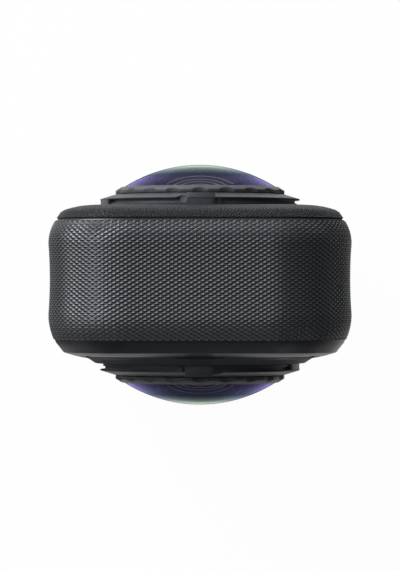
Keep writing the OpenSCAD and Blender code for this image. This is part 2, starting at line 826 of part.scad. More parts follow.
module lens_barrel() {
    bore_r = inner_lens_r + 0.05;
    difference() {
        union() {
            translate([-barrel_foot / 2, -barrel_foot / 2, sensor_low_a])
                cube([barrel_foot, barrel_foot, barrel_foot_top_a - sensor_low_a]);
            rotate_extrude() polygon([
                [0, barrel_foot_top_a - 0.1], [barrel_tube_r, barrel_foot_top_a - 0.1],
                [barrel_tube_r, barrel_flange_low_a], [barrel_flange_r, barrel_flange_low_a],
                [barrel_flange_r, mount_foot_a], [barrel_r, mount_foot_a], [barrel_r, barrel_top_a],
                    [0, barrel_top_a]
            ]);
        }
        rotate_extrude() polygon([
            [0, sensor_low_a - 1], [3, sensor_low_a - 1], [3, relay_low_a], [relay_r, relay_low_a],
            [relay_r, relay_top_a + 0.1], [5.6, relay_top_a + 0.1], [5.6, inner_lens_low_a], [bore_r,
                inner_lens_low_a],
            [bore_r, barrel_top_a - 0.9], [7, barrel_top_a - 0.9], [7, barrel_top_a - 0.6], [7.7,
                barrel_top_a - 0.6],
            [7.7, barrel_top_a - 0.3], [8.4, barrel_top_a - 0.3], [8.4, barrel_top_a + 1], [0,
                barrel_top_a + 1]
        ]);
        translate([-sensor_w / 2 - 0.2, -sensor_h / 2 - 0.2, sensor_low_a - 1])
            cube([sensor_w + 0.4, sensor_h + 0.4, sensor_t + 1.2]);
        translate([0, 0, barrel_flange_low_a - 1]) linear_extrude(3) at_lens_screws()
            circle(screw_hole_r);
    }
}

module front_lens_mount() {
    color("dimgray") face_front() lens_mount();
}

module front_lens_ring() {
    color("gray") face_front() lens_ring();
}

module front_dome_glass() {
    color("lightsteelblue") face_front() dome_glass();
}

module front_lens_seal() {
    color("black") face_front() lens_seal();
}

module front_inner_lens() {
    color("lightsteelblue") face_front() inner_lens();
}

module front_lens_barrel() {
    color("black") face_front() lens_barrel();
}

module rear_lens_mount() {
    color("dimgray") face_back() lens_mount();
}

module rear_lens_ring() {
    color("gray") face_back() lens_ring();
}

module rear_dome_glass() {
    color("lightsteelblue") face_back() dome_glass();
}

module rear_lens_seal() {
    color("black") face_back() lens_seal();
}

module rear_inner_lens() {
    color("lightsteelblue") face_back() inner_lens();
}

module rear_lens_barrel() {
    color("black") face_back() lens_barrel();
}

module both_lenses() {
    face_front() children();
    face_back() children();
}

module relay_lenses() {
    color("lightsteelblue") both_lenses() relay_lens();
}

module image_sensors() {
    color("darkgreen") both_lenses()
        translate([-sensor_w / 2, -sensor_h / 2, sensor_low_a]) cube([sensor_w, sensor_h, sensor_t]);
}

module sensor_boards() {
    color("darkgreen") both_lenses()
        translate([-sensor_board_w / 2, -sensor_board_w / 2, sensor_board_low_a])
        cube([sensor_board_w, sensor_board_w, board_t]);
}

module lens_screws() {
    color("silver") both_lenses() {
        translate([0, 0, barrel_flange_low_a - screw_head_t]) linear_extrude(screw_head_t)
            at_lens_screws() circle(screw_head_r);
        translate([0, 0, barrel_flange_low_a - eps]) linear_extrude(2) at_lens_screws() circle(screw_r);
    }
}

module thermal_pads() {
    color("lightblue") both_lenses() translate([-pad_w / 2, -pad_w / 2, chassis_half_t])
        cube([pad_w, pad_w, pad_t]);
}

module lens_chassis() {
    mid_z = (chassis_low_z + chassis_high_z) / 2;
    color("silver") difference() {
        along_y(-chassis_half_t, chassis_half_t) translate([0, mid_z])
            rounded_rect(chassis_w, chassis_high_z - chassis_low_z, chassis_r);
        along_y(-chassis_half_t - 1, chassis_half_t + 1) at_chassis_screws() circle(screw_hole_r);
    }
}

module chassis_screws() {
    color("silver") {
        along_y(chassis_half_t, chassis_half_t + screw_head_t) at_chassis_screws() circle(screw_head_r);
        along_y(-chassis_half_t - 3, chassis_half_t + eps) at_chassis_screws() circle(screw_r);
    }
}

// Boards and cooling
module main_board() {
    mid_z = (main_board_low_z + main_board_high_z) / 2;
    color("darkgreen") difference() {
        along_y(-main_board_y, -main_board_y + main_board_t) translate([0, mid_z])
            square([main_board_w, main_board_high_z - main_board_low_z], center = true);
        along_y(-main_board_y - 1, -main_board_y + main_board_t + 1) at_board_screws()
            circle(screw_hole_r);
    }
}

module shield_cans() {
    can_y = -main_board_y + main_board_t;
    low_can_h = can_room / 2;
    color("silver") {
        translate([-can_w / 2, can_y, main_board_low_z + can_end]) cube([can_w, can_t, low_can_h]);
        translate([-can_w / 2, can_y, main_board_low_z + can_end + low_can_h + can_gap])
            cube([can_w - can_step, can_t, can_room - low_can_h]);
    }
}

module board_screws() {
    back_y = -main_board_y + main_board_t;
    color("silver") {
        along_y(back_y, back_y + screw_head_t) at_board_screws() circle(screw_head_r);
        along_y(-panel_back_y + 0.2, back_y + eps) at_board_screws() circle(screw_r);
    }
}

// Flat cables from each sensor board, under the chassis, to the main board
module sensor_flexes() {
    sensor_y = sensor_board_low_a + board_t;
    board_y = -main_board_y + main_board_t;
    plug_z = main_board_high_z - flex_lap;
    color("orange") {
        translate([-flex_w - flex_side, 0, 0])
            flex_strip(-sensor_y - flex_t, board_y, main_board_high_z - 1, plug_z);
        translate([flex_side, 0, 0]) flex_strip(sensor_y, board_y, main_board_high_z + 0.5, plug_z);
    }
}

module flex_strip(sensor_y, board_y, bend_z, plug_z) {
    top_z = lens_z - sensor_board_w / 2 + flex_lap;
    along_x(0, flex_w) {
        box_2d([sensor_y, bend_z], [sensor_y + flex_t, top_z]);
        box_2d([board_y, bend_z], [sensor_y + flex_t, bend_z + flex_t]);
        box_2d([board_y, plug_z], [board_y + flex_t, bend_z + flex_t]);
    }
}

module heat_spreader() {
    low_z = bay_low_z + 3.4;
    color("silver") translate([-spreader_w / 2, bay_back_y, low_z])
        cube([spreader_w, spreader_t, bay_high_z - low_z]);
}

// Battery
module battery_bay() {
    color("black") {
        difference() {
            translate([bay_left_x, bay_front_y, bay_low_z])
                cube([bay_right_x - bay_left_x, bay_back_y - bay_front_y, bay_high_z - bay_low_z]);
            translate([bay_left_x + bay_wall, bay_front_y + bay_wall, bay_low_z + bay_wall])
                cube([
                    bay_right_x - bay_left_x, bay_back_y - bay_front_y - 2 * bay_wall,
                        shelf_z - bay_low_z - bay_wall
                ]);
            translate([bay_left_x + bay_wall, bay_front_y + bay_wall, shelf_z + shelf_t])
                cube([
                    bay_right_x - bay_left_x, bay_back_y - bay_front_y - 2 * bay_wall,
                    bay_high_z - bay_wall - shelf_z - shelf_t
                ]);
        }
        for (x = [-foot_screw_x, foot_screw_x])
            translate([x - rib_t / 2, -rib_w / 4, floor_z])
                cube([rib_t, rib_w / 2, bay_low_z - floor_z + 0.2]);
        for (z = [side_key_z[0] - 5, (side_key_z[0] + side_key_z[1]) / 2, bay_high_z - 3])
            translate([-side_key_x + board_t, usb_y - rib_w / 2, z])
                cube([bay_left_x + side_key_x - board_t + 0.2, rib_w, rib_t]);
        for (z = [usb_z - io_board_h / 2 + 1, usb_z + io_board_h / 2 - 1 - rib_t])
            translate([-side_key_x + 0.4, usb_y + usb_socket_h / 2 + board_t, z])
                cube([bay_left_x + side_key_x - 0.4 + 0.2, rib_t, rib_t]);
    }
}

module battery_pack() {
    color("slategray") along_x(battery_left_x, door_back_x)
        translate([door_y, battery_low_z + battery_h / 2]) rounded_rect(battery_t, battery_h, battery_r);
}

module battery_contacts() {
    color("gold") translate([bay_left_x + bay_wall, door_y - contact_w / 2, contact_z])
        cube([contact_t, contact_w, contact_h]);
}

module side_skin(side) {
    mirror([side > 0 ? 0 : 1, 0, 0])
        translate([corner_x, 0, corner_low]) linear_extrude(corner_high - corner_low) housing_profile();
}

// One latch and the room for it, drawn for the top of the door
module latch_room() {
    along_x(latch_pad_x, half_w + 1) box_2d(
        [-latch_pad_w / 2 - slip, latch_pad_low - latch_travel - slip], [latch_pad_w / 2 + slip,
            latch_pad_high + slip]
    );
    along_x(door_back_x - 1, inner_x) box_2d(
        [-latch_w / 2 - fit, latch_stem_z - latch_stem_l - latch_travel], [latch_w / 2 + fit,
            latch_top_z + 1]
    );
    along_x(door_back_x, half_w) box_2d(
        [-latch_stem_w / 2 - fit, latch_stem_z - latch_stem_l / 2 - latch_travel - fit],
        [latch_stem_w / 2 + fit, latch_stem_z + latch_stem_l / 2 + fit]
    );
}

module latch() {
    difference() {
        along_x(latch_pad_x + 0.05, half_w - 0.05)
            box_2d([-latch_pad_w / 2, latch_pad_low], [latch_pad_w / 2, latch_pad_high]);
        for (i = [-1, 0, 1]) along_x(half_w - latch_groove_depth, half_w + 1)
            translate([0, latch_stem_z + i * latch_groove_pitch])
                square([latch_pad_w - 2, latch_groove_w], center = true);
    }
    along_x(latch_tongue_x, latch_tongue_x + latch_plate_t)
        box_2d([-latch_w / 2, latch_stem_z - latch_stem_l / 2], [latch_w / 2,
            latch_top_z + latch_reach]);
    along_x(latch_tongue_x, half_w - 0.5)
        box_2d([-latch_stem_w / 2, latch_stem_z - latch_stem_l / 2], [latch_stem_w / 2,
            latch_stem_z + latch_stem_l / 2]);
}

module at_upper_latch() {
    translate([0, door_y, door_z]) children();
}

module at_lower_latch() {
    translate([0, door_y, door_z]) mirror([0, 0, 1]) children();
}

module battery_door() {
    color("dimgray") difference() {
        intersection() {
            side_skin(1);
            along_x(door_back_x, half_w + 1) door_shape(door_gap);
        }
        along_x(door_seal_x, door_seal_x + door_seal_t) difference() {
            door_shape(-1);
            door_shape(door_gap + door_seal_depth);
        }
        at_upper_latch() latch_room();
        at_lower_latch() latch_room();
    }
}

module battery_seal() {
    color("black") along_x(door_seal_x, door_seal_x + door_seal_t) difference() {
        door_shape(0.05);
        door_shape(door_gap + door_seal_depth);
    }
}

module upper_latch() {
    color("gray") at_upper_latch() latch();
}

module lower_latch() {
    color("gray") at_lower_latch() latch();
}

module memory_card() {
    color("black") translate([bay_right_x - card_l, door_y - card_w / 2, shelf_z + shelf_t + card_lift])
        cube([card_l, card_w, card_t]);
}

module card_socket() {
    mouth_x = bay_right_x - card_grip;
    color("silver") difference() {
        translate([mouth_x - socket_l, door_y - socket_w / 2, shelf_z + shelf_t])
            cube([socket_l, socket_w, socket_t]);
        translate([bay_right_x - card_l, door_y - card_w / 2 - socket_slot,
            shelf_z + shelf_t + card_lift - socket_slot])
            cube([card_l, card_w + 2 * socket_slot, card_t + 2 * socket_slot]);
    }
}

// Buttons
module front_button(x) {
    stem_low = -front_stem_y;
    translate([x, 0, front_button_z]) {
        along_y(-front_reach - front_button_proud, -front_flange_y + eps) circle(front_button_r);
        along_y(-front_flange_y, -front_flange_y + button_flange_t)
            circle(front_button_r + button_flange);
        along_y(-front_flange_y, stem_low) circle(stem_r);
    }
}

module side_button(z) {
    along_x(-half_w - side_button_proud, -side_flange_x + eps) side_key_shape(z, 0);
    along_x(-side_flange_x, -side_flange_x + button_flange_t) side_key_shape(z, 0.7);
    along_x(-side_flange_x, -side_stem_x) translate([usb_y, z]) circle(stem_r);
}

module shutter_button() {
    color("firebrick") front_button(-front_button_x);
}

module lens_button() {
    color("dimgray") front_button(front_button_x);
}

module power_button() {
    color("dimgray") side_button(side_key_z[1]);
}

module quick_button() {
    color("dimgray") side_button(side_key_z[0]);
}

module tact_switches() {
    color("silver") {
        along_y(-front_switch_y, -front_key_y)
            for (x = [-front_button_x, front_button_x]) translate([x, front_button_z])
                square(switch_w, center = true);
        along_x(-side_switch_x, -side_key_x) for (z = side_key_z) translate([usb_y, z])
            square(switch_w, center = true);
    }
}

module key_boards() {
    color("darkgreen") {
        along_y(-front_key_y, -front_key_y + board_t) translate([0, front_button_z])
            square([key_board_w, key_board_h], center = true);
        along_x(-side_key_x, -side_key_x + board_t)
            box_2d([usb_y - side_key_w / 2, side_key_z[0] - side_key_end],
                [usb_y + side_key_w / 2, side_key_z[1] + side_key_end]);
    }
}

// Charging door, hinged at its lower edge
module usb_door() {
    low_y = usb_y - usb_door_w / 2;
    high_y = usb_y + usb_door_w / 2;
    color("dimgray") difference() {
        union() {
            intersection() {
                side_skin(-1);
                along_x(-half_w - 1, -half_w + usb_door_t)
                    box_2d([low_y, usb_pin_z], [high_y, usb_door_top_z]);
            }
            intersection() {
                side_skin(-1);
                translate([-usb_pin_x, high_y, usb_pin_z]) rotate([90, 0, 0])
                    cylinder(h = usb_door_w, r = usb_barrel_r);
            }
        }
        translate([-usb_pin_x, high_y + 1, usb_pin_z]) rotate([90, 0, 0])
            cylinder(h = usb_door_w + 2, r = usb_pin_r + 0.06);
    }
}

module usb_door_pin() {
    color("silver") translate([-usb_pin_x, usb_y, usb_pin_z]) rotate([90, 0, 0])
        cylinder(h = usb_door_w + 1.8, r = usb_pin_r, center = true);
}

module usb_door_seal() {
    color("black") along_x(-half_w + usb_door_t, -inner_x - 0.05) difference() {
        usb_mouth_shape(1.6);
        usb_mouth_shape(0.6);
    }
}

module usb_socket() {
    mouth_x = -usb_socket_x;
    color("silver") {
        difference() {
            along_x(mouth_x, mouth_x + usb_socket_l) usb_mouth_shape(0);
            along_x(mouth_x - 1, mouth_x + usb_socket_l - 1) usb_mouth_shape(-usb_socket_wall);
        }
        along_x(mouth_x + 0.6, mouth_x + usb_socket_l - 0.9) translate([usb_y, usb_z])
            square([usb_tongue_t, usb_tongue_w], center = true);
    }
}

module io_board() {
    color("darkgreen") translate([-side_key_x + 0.2, usb_y + usb_socket_h / 2, usb_z - io_board_h / 2])
        cube([bay_left_x + side_key_x - 0.4, board_t, io_board_h]);
}

// Sound and lights
module speaker() {
    color("black") translate([inner_x - speaker_gap - speaker_l, speaker_y - speaker_w / 2,
        speaker_hole_z + speaker_above - speaker_h])
        cube([speaker_l, speaker_w, speaker_h]);
}

module microphones() {
    outer_x = inner_x - mic_mesh_t;
    color("gold") for (side = [0, 1]) mirror([side, 0, 0])
        along_x(outer_x - mic_t, outer_x) translate([grip_y, mic_z])
            square([mic_w, mic_h], center = true);
}

module mic_meshes() {
    color("black") for (side = [0, 1]) mirror([side, 0, 0])
        along_x(inner_x - mic_mesh_t, inner_x) translate([grip_y, mic_z]) circle(mic_mesh_r);
}

module front_status_light() {
    color("white") along_y(-front_reach + 0.05, -wall_back_y + 0.5) translate([light_x, light_z])
        circle(light_r);
}

module rear_status_light() {
    color("white") along_y(cover_inner_y - 0.7, back_reach - 0.05) translate([-light_x, light_z])
        circle(light_r);
}

main_housing();
back_cover();
cover_gasket();
front_panel();
screen_glass();
display_panel();
foot_plate();
thread_insert();
foot_screws();
front_lens_mount();
front_lens_ring();
front_dome_glass();
front_lens_seal();
front_inner_lens();
front_lens_barrel();
rear_lens_mount();
rear_lens_ring();
rear_dome_glass();
rear_lens_seal();
rear_inner_lens();
rear_lens_barrel();
relay_lenses();
image_sensors();
sensor_boards();
lens_screws();
lens_chassis();
thermal_pads();
chassis_screws();
main_board();
shield_cans();
board_screws();
sensor_flexes();
heat_spreader();
battery_bay();
battery_pack();
battery_contacts();
battery_door();
battery_seal();
upper_latch();
lower_latch();
memory_card();
card_socket();
shutter_button();
lens_button();
power_button();
quick_button();
tact_switches();
key_boards();
usb_door();
usb_door_pin();
usb_door_seal();
usb_socket();
io_board();
speaker();
microphones();
mic_meshes();
front_status_light();
rear_status_light();
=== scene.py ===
"""Looks for a pocket 360 degree camera: a knurled body, two coated fisheye lenses and its small controls.

Laid out as an add-on and run as a script. Every size is in metres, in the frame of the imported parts:
X runs across the body, Y along the lens axes with the front at -Y, and Z up from the foot.
"""

import json
import math

import bmesh
import bpy
from bpy.props import FloatProperty, FloatVectorProperty, IntProperty, PointerProperty
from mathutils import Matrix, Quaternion, Vector

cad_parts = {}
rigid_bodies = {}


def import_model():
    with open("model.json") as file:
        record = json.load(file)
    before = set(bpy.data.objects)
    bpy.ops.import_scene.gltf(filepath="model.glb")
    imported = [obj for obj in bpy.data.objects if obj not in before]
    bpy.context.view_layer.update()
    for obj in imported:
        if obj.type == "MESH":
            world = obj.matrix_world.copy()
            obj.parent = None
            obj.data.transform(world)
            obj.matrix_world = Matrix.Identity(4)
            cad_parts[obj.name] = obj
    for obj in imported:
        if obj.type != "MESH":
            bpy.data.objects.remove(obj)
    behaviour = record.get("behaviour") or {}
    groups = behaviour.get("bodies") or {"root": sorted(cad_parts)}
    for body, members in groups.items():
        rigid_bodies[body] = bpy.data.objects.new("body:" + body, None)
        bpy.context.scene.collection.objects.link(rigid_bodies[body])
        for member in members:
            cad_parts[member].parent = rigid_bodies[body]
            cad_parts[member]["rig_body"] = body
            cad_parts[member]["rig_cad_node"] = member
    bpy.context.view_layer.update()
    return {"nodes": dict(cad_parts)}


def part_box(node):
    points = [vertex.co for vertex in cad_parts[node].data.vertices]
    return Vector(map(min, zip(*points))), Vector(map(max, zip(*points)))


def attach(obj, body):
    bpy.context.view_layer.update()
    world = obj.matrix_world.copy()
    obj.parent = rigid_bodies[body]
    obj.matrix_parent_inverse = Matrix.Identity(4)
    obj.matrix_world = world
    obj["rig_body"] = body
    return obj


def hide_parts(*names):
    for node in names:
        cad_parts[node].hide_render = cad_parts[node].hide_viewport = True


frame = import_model()
NODES = frame["nodes"]
MM = 0.001

bl_info = {
    "name": "Pocket 360 camera",
    "version": (1, 0, 0),
    "blender": (4, 5, 0),
    "location": "3D View > Sidebar > Camera",
    "description": "Models and finishes a pocket 360 degree camera around its packed parts",
    "category": "Add Mesh",
}

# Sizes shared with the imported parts
HOUSING_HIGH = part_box("main_housing")[1]
HALF_W = HOUSING_HIGH.x
TOP_Z = HOUSING_HIGH.z
BASE_Z = 0.5 * MM
CORNER_R = 12 * MM
CORNER_X = HALF_W - CORNER_R
CORNER_LOW = BASE_Z + CORNER_R
CORNER_HIGH = TOP_Z - CORNER_R
LENS_Z = (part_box("rear_dome_glass")[0].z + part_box("rear_dome_glass")[1].z) / 2

# The side's profile: a hollow between two rounded edges, each textured for a reach past its centre
GRIP_Y = 0.9 * MM
BACK_ROUND_Y, BACK_ROUND_R, BACK_REACH = 6.3 * MM, 6 * MM, 3.3 * MM
FRONT_ROUND_Y, FRONT_ROUND_R, FRONT_REACH = -4.5 * MM, 9 * MM, 3.75 * MM
WAIST_DEPTH = 0.22 * MM

# Linear colour of the lamps and the room
DAYLIGHT = (0.92, 0.94, 1.0)


def linear(code):
    """The linear colour of an sRGB hex value."""
    parts = [int(code[i:i + 2], 16) / 255 for i in (1, 3, 5)]
    return tuple(p / 12.92 if p <= 0.04045 else ((p + 0.055) / 1.055) ** 2.4 for p in parts)


class GripSettings(bpy.types.PropertyGroup):
    """Sizes of the diamond texture round the body."""

    columns_side: IntProperty(
        name="Diamonds up a side", description="Diamonds along each straight side", default=78, min=20)
    columns_end: IntProperty(
        name="Diamonds across an end", description="Diamonds along each end", default=19, min=5)
    columns_corner: IntProperty(
        name="Diamonds round a corner", description="Diamonds along each rounded corner", default=16, min=4)
    rows_back: IntProperty(
        name="Rows on the back edge", description="Rows on the rounded back edge", default=5, min=1)
    rows_waist: IntProperty(
        name="Rows in the hollow", description="Rows in the shallow hollow of the side", default=16, min=2)
    rows_front: IntProperty(
        name="Rows on the front edge", description="Rows on the rounded front edge", default=6, min=1)
    height: FloatProperty(
        name="Diamond height", description="How far each diamond's point stands out",
        default=0.13 * MM, unit="LENGTH", precision=5)
    skin: FloatProperty(
        name="Skin depth", description="Depth of the textured skin behind its valleys",
        default=0.25 * MM, unit="LENGTH", precision=5)


class EdgeSettings(bpy.types.PropertyGroup):
    """Radii that a mould or a press leaves on edges."""

    moulded: FloatProperty(
        name="Moulded edge", description="Edge radius of the moulded plastic pieces",
        default=0.1 * MM, unit="LENGTH", precision=5)
    keys: FloatProperty(
        name="Button edge", description="Edge radius of the buttons", default=0.25 * MM, unit="LENGTH",
        precision=5)
    metal: FloatProperty(
        name="Metal edge", description="Edge radius of the metal pieces", default=0.12 * MM, unit="LENGTH",
        precision=5)


class ColourSettings(bpy.types.PropertyGroup):
    """Colours of the main finishes."""

    grip: FloatVectorProperty(
        name="Grip", description="Textured body plastic", subtype="COLOR", default=linear("#1d1f22"))
    band: FloatVectorProperty(
        name="Body band", description="Smooth body plastic", subtype="COLOR", default=linear("#191a1d"))
    cover: FloatVectorProperty(
        name="Back cover", description="Fine-hatched back cover", subtype="COLOR", default=linear("#101214"))
    panel: FloatVectorProperty(
        name="Front panel", description="Satin front panel", subtype="COLOR", default=linear("#36383c"))
    mount: FloatVectorProperty(
        name="Lens mount", description="Bayonet lens mount", subtype="COLOR", default=linear("#2e3034"))
    ring: FloatVectorProperty(
        name="Lens ring", description="Scalloped lens ring", subtype="COLOR", default=linear("#333538"))
    shutter: FloatVectorProperty(
        name="Shutter mark", description="Disc on the shutter button", subtype="COLOR",
        default=linear("#b3202a"))


class StageSettings(bpy.types.PropertyGroup):
    """Camera and light of the stage."""

    eye: FloatVectorProperty(
        name="Camera place", description="Where the camera stands", subtype="TRANSLATION",
        default=(0.0, -0.045 * MM, 574 * MM))
    lens: FloatProperty(
        name="Focal length", description="Lens of the camera, in millimetres", default=197.0, unit="CAMERA")
    key: FloatProperty(
        name="Key light", description="Power of the slanted soft light", default=17.0, min=0.0, unit="POWER")
    back: FloatProperty(
        name="Back light", description="Power of the wide back light", default=1.4, min=0.0, unit="POWER")
    corner: FloatProperty(
        name="Corner light", description="Power of the back left light", default=4.4, min=0.0, unit="POWER")
    rim: FloatProperty(
        name="Rim light", description="Power of the low rim light", default=0.12, min=0.0, unit="POWER")
    front: FloatProperty(
        name="Front light", description="Power of the low front light", default=0.3, min=0.0, unit="POWER")
    sky: FloatProperty(
        name="Room light", description="Strength of the room's light", default=0.4, min=0.0)


class CameraSettings(bpy.types.PropertyGroup):
    """All the settings of the camera model."""

    grip: PointerProperty(type=GripSettings)
    edges: PointerProperty(type=EdgeSettings)
    colours: PointerProperty(type=ColourSettings)
    stage: PointerProperty(type=StageSettings)


def settings():
    """The camera's settings in this scene."""
    return bpy.context.scene.pocket_camera


# Selecting and editing
def focus(*pieces):
    """Selects only these pieces, in object mode, and makes the first one active."""
    if bpy.context.object and bpy.context.object.mode != "OBJECT":
        bpy.ops.object.mode_set(mode="OBJECT")
    bpy.ops.object.select_all(action="DESELECT")
    for piece in pieces:
        piece.select_set(True)
    bpy.context.view_layer.objects.active = pieces[0]


def edit(piece, kind="VERT"):
    """Opens a piece in edit mode with everything selected."""
    focus(piece)
    bpy.ops.object.mode_set(mode="EDIT")
    bpy.ops.mesh.select_mode(type=kind)
    bpy.ops.mesh.select_all(action="SELECT")


def done():
    bpy.ops.object.mode_set(mode="OBJECT")


def pick(piece, kind, test):
    """In edit mode, selects only the vertices, edges or faces that pass the test."""
    bpy.ops.mesh.select_mode(type={"verts": "VERT", "edges": "EDGE", "faces": "FACE"}[kind])
    bpy.ops.mesh.select_all(action="DESELECT")
    mesh = bmesh.from_edit_mesh(piece.data)
    for item in getattr(mesh, kind):
        if test(item):
            item.select_set(True)
    mesh.select_flush_mode()
    bmesh.update_edit_mesh(piece.data)


def apply_modifier(piece, kind, **values):
    """Adds a modifier with these settings and applies it."""
    focus(piece)
    made = piece.modifiers.new(kind.title(), kind)
    for name, value in values.items():
        setattr(made, name, value)
    bpy.ops.object.modifier_apply(modifier=made.name)


def cut(piece, tool, operation="DIFFERENCE"):
    """Cuts a piece with a tool shape, and removes the tool."""
    apply_modifier(piece, "BOOLEAN", object=tool, operation=operation, solver="EXACT")
    bpy.data.objects.remove(tool)


def smooth(piece, degrees=35):
    focus(piece)
    bpy.ops.object.shade_smooth_by_angle(angle=math.radians(degrees))


def twin(piece, name):
    """A copy of a piece with a mesh of its own."""
    focus(piece)
    bpy.ops.object.duplicate()
    made = bpy.context.view_layer.objects.active
    made.name = made.data.name = name
    return made


def half_turn(piece):
    """Turns a lens piece from the back of the camera to its front."""
    edit(piece)
    bpy.ops.transform.rotate(value=math.pi, orient_axis="Z", center_override=(0, 0, 0))
    done()


def cad_copy(node, name):
    """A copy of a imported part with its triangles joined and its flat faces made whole."""
    made = twin(NODES[node], name)
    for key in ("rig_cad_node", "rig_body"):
        del made[key]
    bpy.ops.object.parent_clear(type="CLEAR_KEEP_TRANSFORM")
    made.data.materials.clear()
    edit(made)
    bpy.ops.mesh.remove_doubles(threshold=1e-6)
    bpy.ops.mesh.dissolve_limited(angle_limit=math.radians(0.4))
    done()
    return made


def soften(piece, width, segments=2, degrees=32):
    """Gives a piece the small edge radius that its making leaves."""
    apply_modifier(piece, "BEVEL", width=width, segments=segments, limit_method="ANGLE",
                   angle_limit=math.radians(degrees), miter_outer="MITER_ARC", use_clamp_overlap=True)
    smooth(piece)
    apply_modifier(piece, "WEIGHTED_NORMAL", keep_sharp=True, weight=60)


def dress(piece, body, slot, *nodes, look=None):
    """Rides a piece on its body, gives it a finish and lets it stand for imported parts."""
    piece.data.materials.clear()
    piece.data.materials.append(finish(look or slot))
    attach(piece, body)
    if nodes:
        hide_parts(*nodes)


def moulding(node, name, edge, body, slot, segments=2):
    """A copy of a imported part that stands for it, with its edges rounded and its finish on."""
    piece = cad_copy(node, name)
    soften(piece, edge, segments)
    dress(piece, body, slot, node)


def new_piece(add, name, **sizes):
    """Adds a primitive as a piece of its own and opens it in edit mode."""
    bpy.ops.object.select_all(action="DESELECT")
    add(**sizes)
    piece = bpy.context.view_layer.objects.active
    piece.name = piece.data.name = name
    edit(piece)
    return piece


def first_point(name, place):
    """A new piece that is one vertex at a place, ready to be drawn on."""
    piece = new_piece(bpy.ops.mesh.primitive_plane_add, name, size=MM)
    bpy.ops.mesh.merge(type="CENTER")
    bpy.ops.transform.translate(value=place)
    return piece


def draw_line(*steps):
    """Draws straight lines on from the selected vertex, each by a step."""
    for step in steps:
        bpy.ops.mesh.extrude_vertices_move(TRANSFORM_OT_translate={"value": step})


def draw_arc(centre, axis, degrees, steps):
    """Carries what is selected round an arc, counterclockwise seen against the axis.

    The spin tool turns the other way, so its angle is reversed.
    """
    bpy.ops.mesh.spin(steps=steps, angle=-math.radians(degrees), center=centre, axis=axis)


def close_up(piece):
    """Joins the meeting ends of a turned or swept shape and points its faces outwards."""
    bpy.ops.mesh.select_all(action="SELECT")
    bpy.ops.mesh.remove_doubles(threshold=2e-6)
    bpy.ops.mesh.dissolve_degenerate(threshold=1e-7)
    bpy.ops.mesh.select_all(action="SELECT")
    bpy.ops.mesh.normals_make_consistent(inside=False)
    done()


def rounded_block(name, low, high, along, radius, segments=8):
    """A block with its edges along one axis rounded, as a tool for cutting."""
    piece = new_piece(bpy.ops.mesh.primitive_cube_add, name, size=1)
    bpy.ops.transform.resize(value=[h - l for l, h in zip(low, high)])
    bpy.ops.transform.translate(value=[(l + h) / 2 for l, h in zip(low, high)])
    index = "XYZ".index(along)
    pick(piece, "edges", lambda e: abs((e.verts[0].co - e.verts[1].co).normalized()[index]) > 0.99)
    bpy.ops.mesh.bevel(offset=radius, segments=segments, affect="EDGES", clamp_overlap=True)
    done()
    return piece


def joined(pieces):
    """One piece made of several."""
    focus(*pieces)
    bpy.ops.object.join()
    return bpy.context.view_layer.objects.active


# Nodes and finishes
def add_node(tree, kind, inputs=None, **values):
    """Adds a node, sets its own settings, and fills or links its inputs."""
    made = tree.nodes.new(kind)
    for name, value in values.items():
        setattr(made, name, value)
    for name, value in (inputs or {}).items():
        if isinstance(value, bpy.types.NodeSocket):
            tree.links.new(value, made.inputs[name])
        else:
            made.inputs[name].default_value = value
    return made


def new_finish(name, maker, *values):
    """A material whose nodes a maker adds, between the place on the piece and the surface."""
    material = bpy.data.materials.new(name)
    material.use_nodes = True
    tree = material.node_tree
    tree.nodes.clear()
    place = add_node(tree, "ShaderNodeTexCoord").outputs["Object"]
    shader = maker(tree, place, *values)
    add_node(tree, "ShaderNodeOutputMaterial", {"Surface": shader.outputs[0]})
    return material


def shade(colour, share=1.0):
    """A colour made darker or paler by a share, ready for a node."""
    return (*[c * share for c in colour[:3]], 1.0)


def moulded_plastic(tree, place, colour, roughness, grit_mm, depth_mm):
    """Injection-moulded plastic from a spark-eroded mould: an even fine grit and a slightly cloudy gloss.

    The grit is drawn coarser than such a mould leaves it, because that is too fine to show in the render.
    """
    tone_spread, gloss_spread, cloud_size = 0.12, 0.06, 7 * MM
    grit = add_node(tree, "ShaderNodeTexNoise", {
        "Vector": place, "Scale": 1 / (grit_mm * MM), "Detail": 2.0})
    cloud = add_node(tree, "ShaderNodeTexNoise", {"Vector": place, "Scale": 1 / cloud_size, "Detail": 3.0})
    tone = add_node(tree, "ShaderNodeMix", {
        0: cloud.outputs["Fac"], 6: shade(colour, 1 - tone_spread), 7: shade(colour, 1 + tone_spread)},
        data_type="RGBA")
    gloss = add_node(tree, "ShaderNodeMapRange", {
        "Value": grit.outputs["Fac"],
        "To Min": roughness - gloss_spread, "To Max": roughness + gloss_spread})
    bump = add_node(tree, "ShaderNodeBump", {
        "Height": grit.outputs["Fac"], "Strength": 0.6, "Distance": depth_mm * MM})
    return add_node(tree, "ShaderNodeBsdfPrincipled", {
        "Base Color": tone.outputs[2], "Roughness": gloss.outputs["Result"], "IOR": 1.5,
        "Normal": bump.outputs["Normal"]})


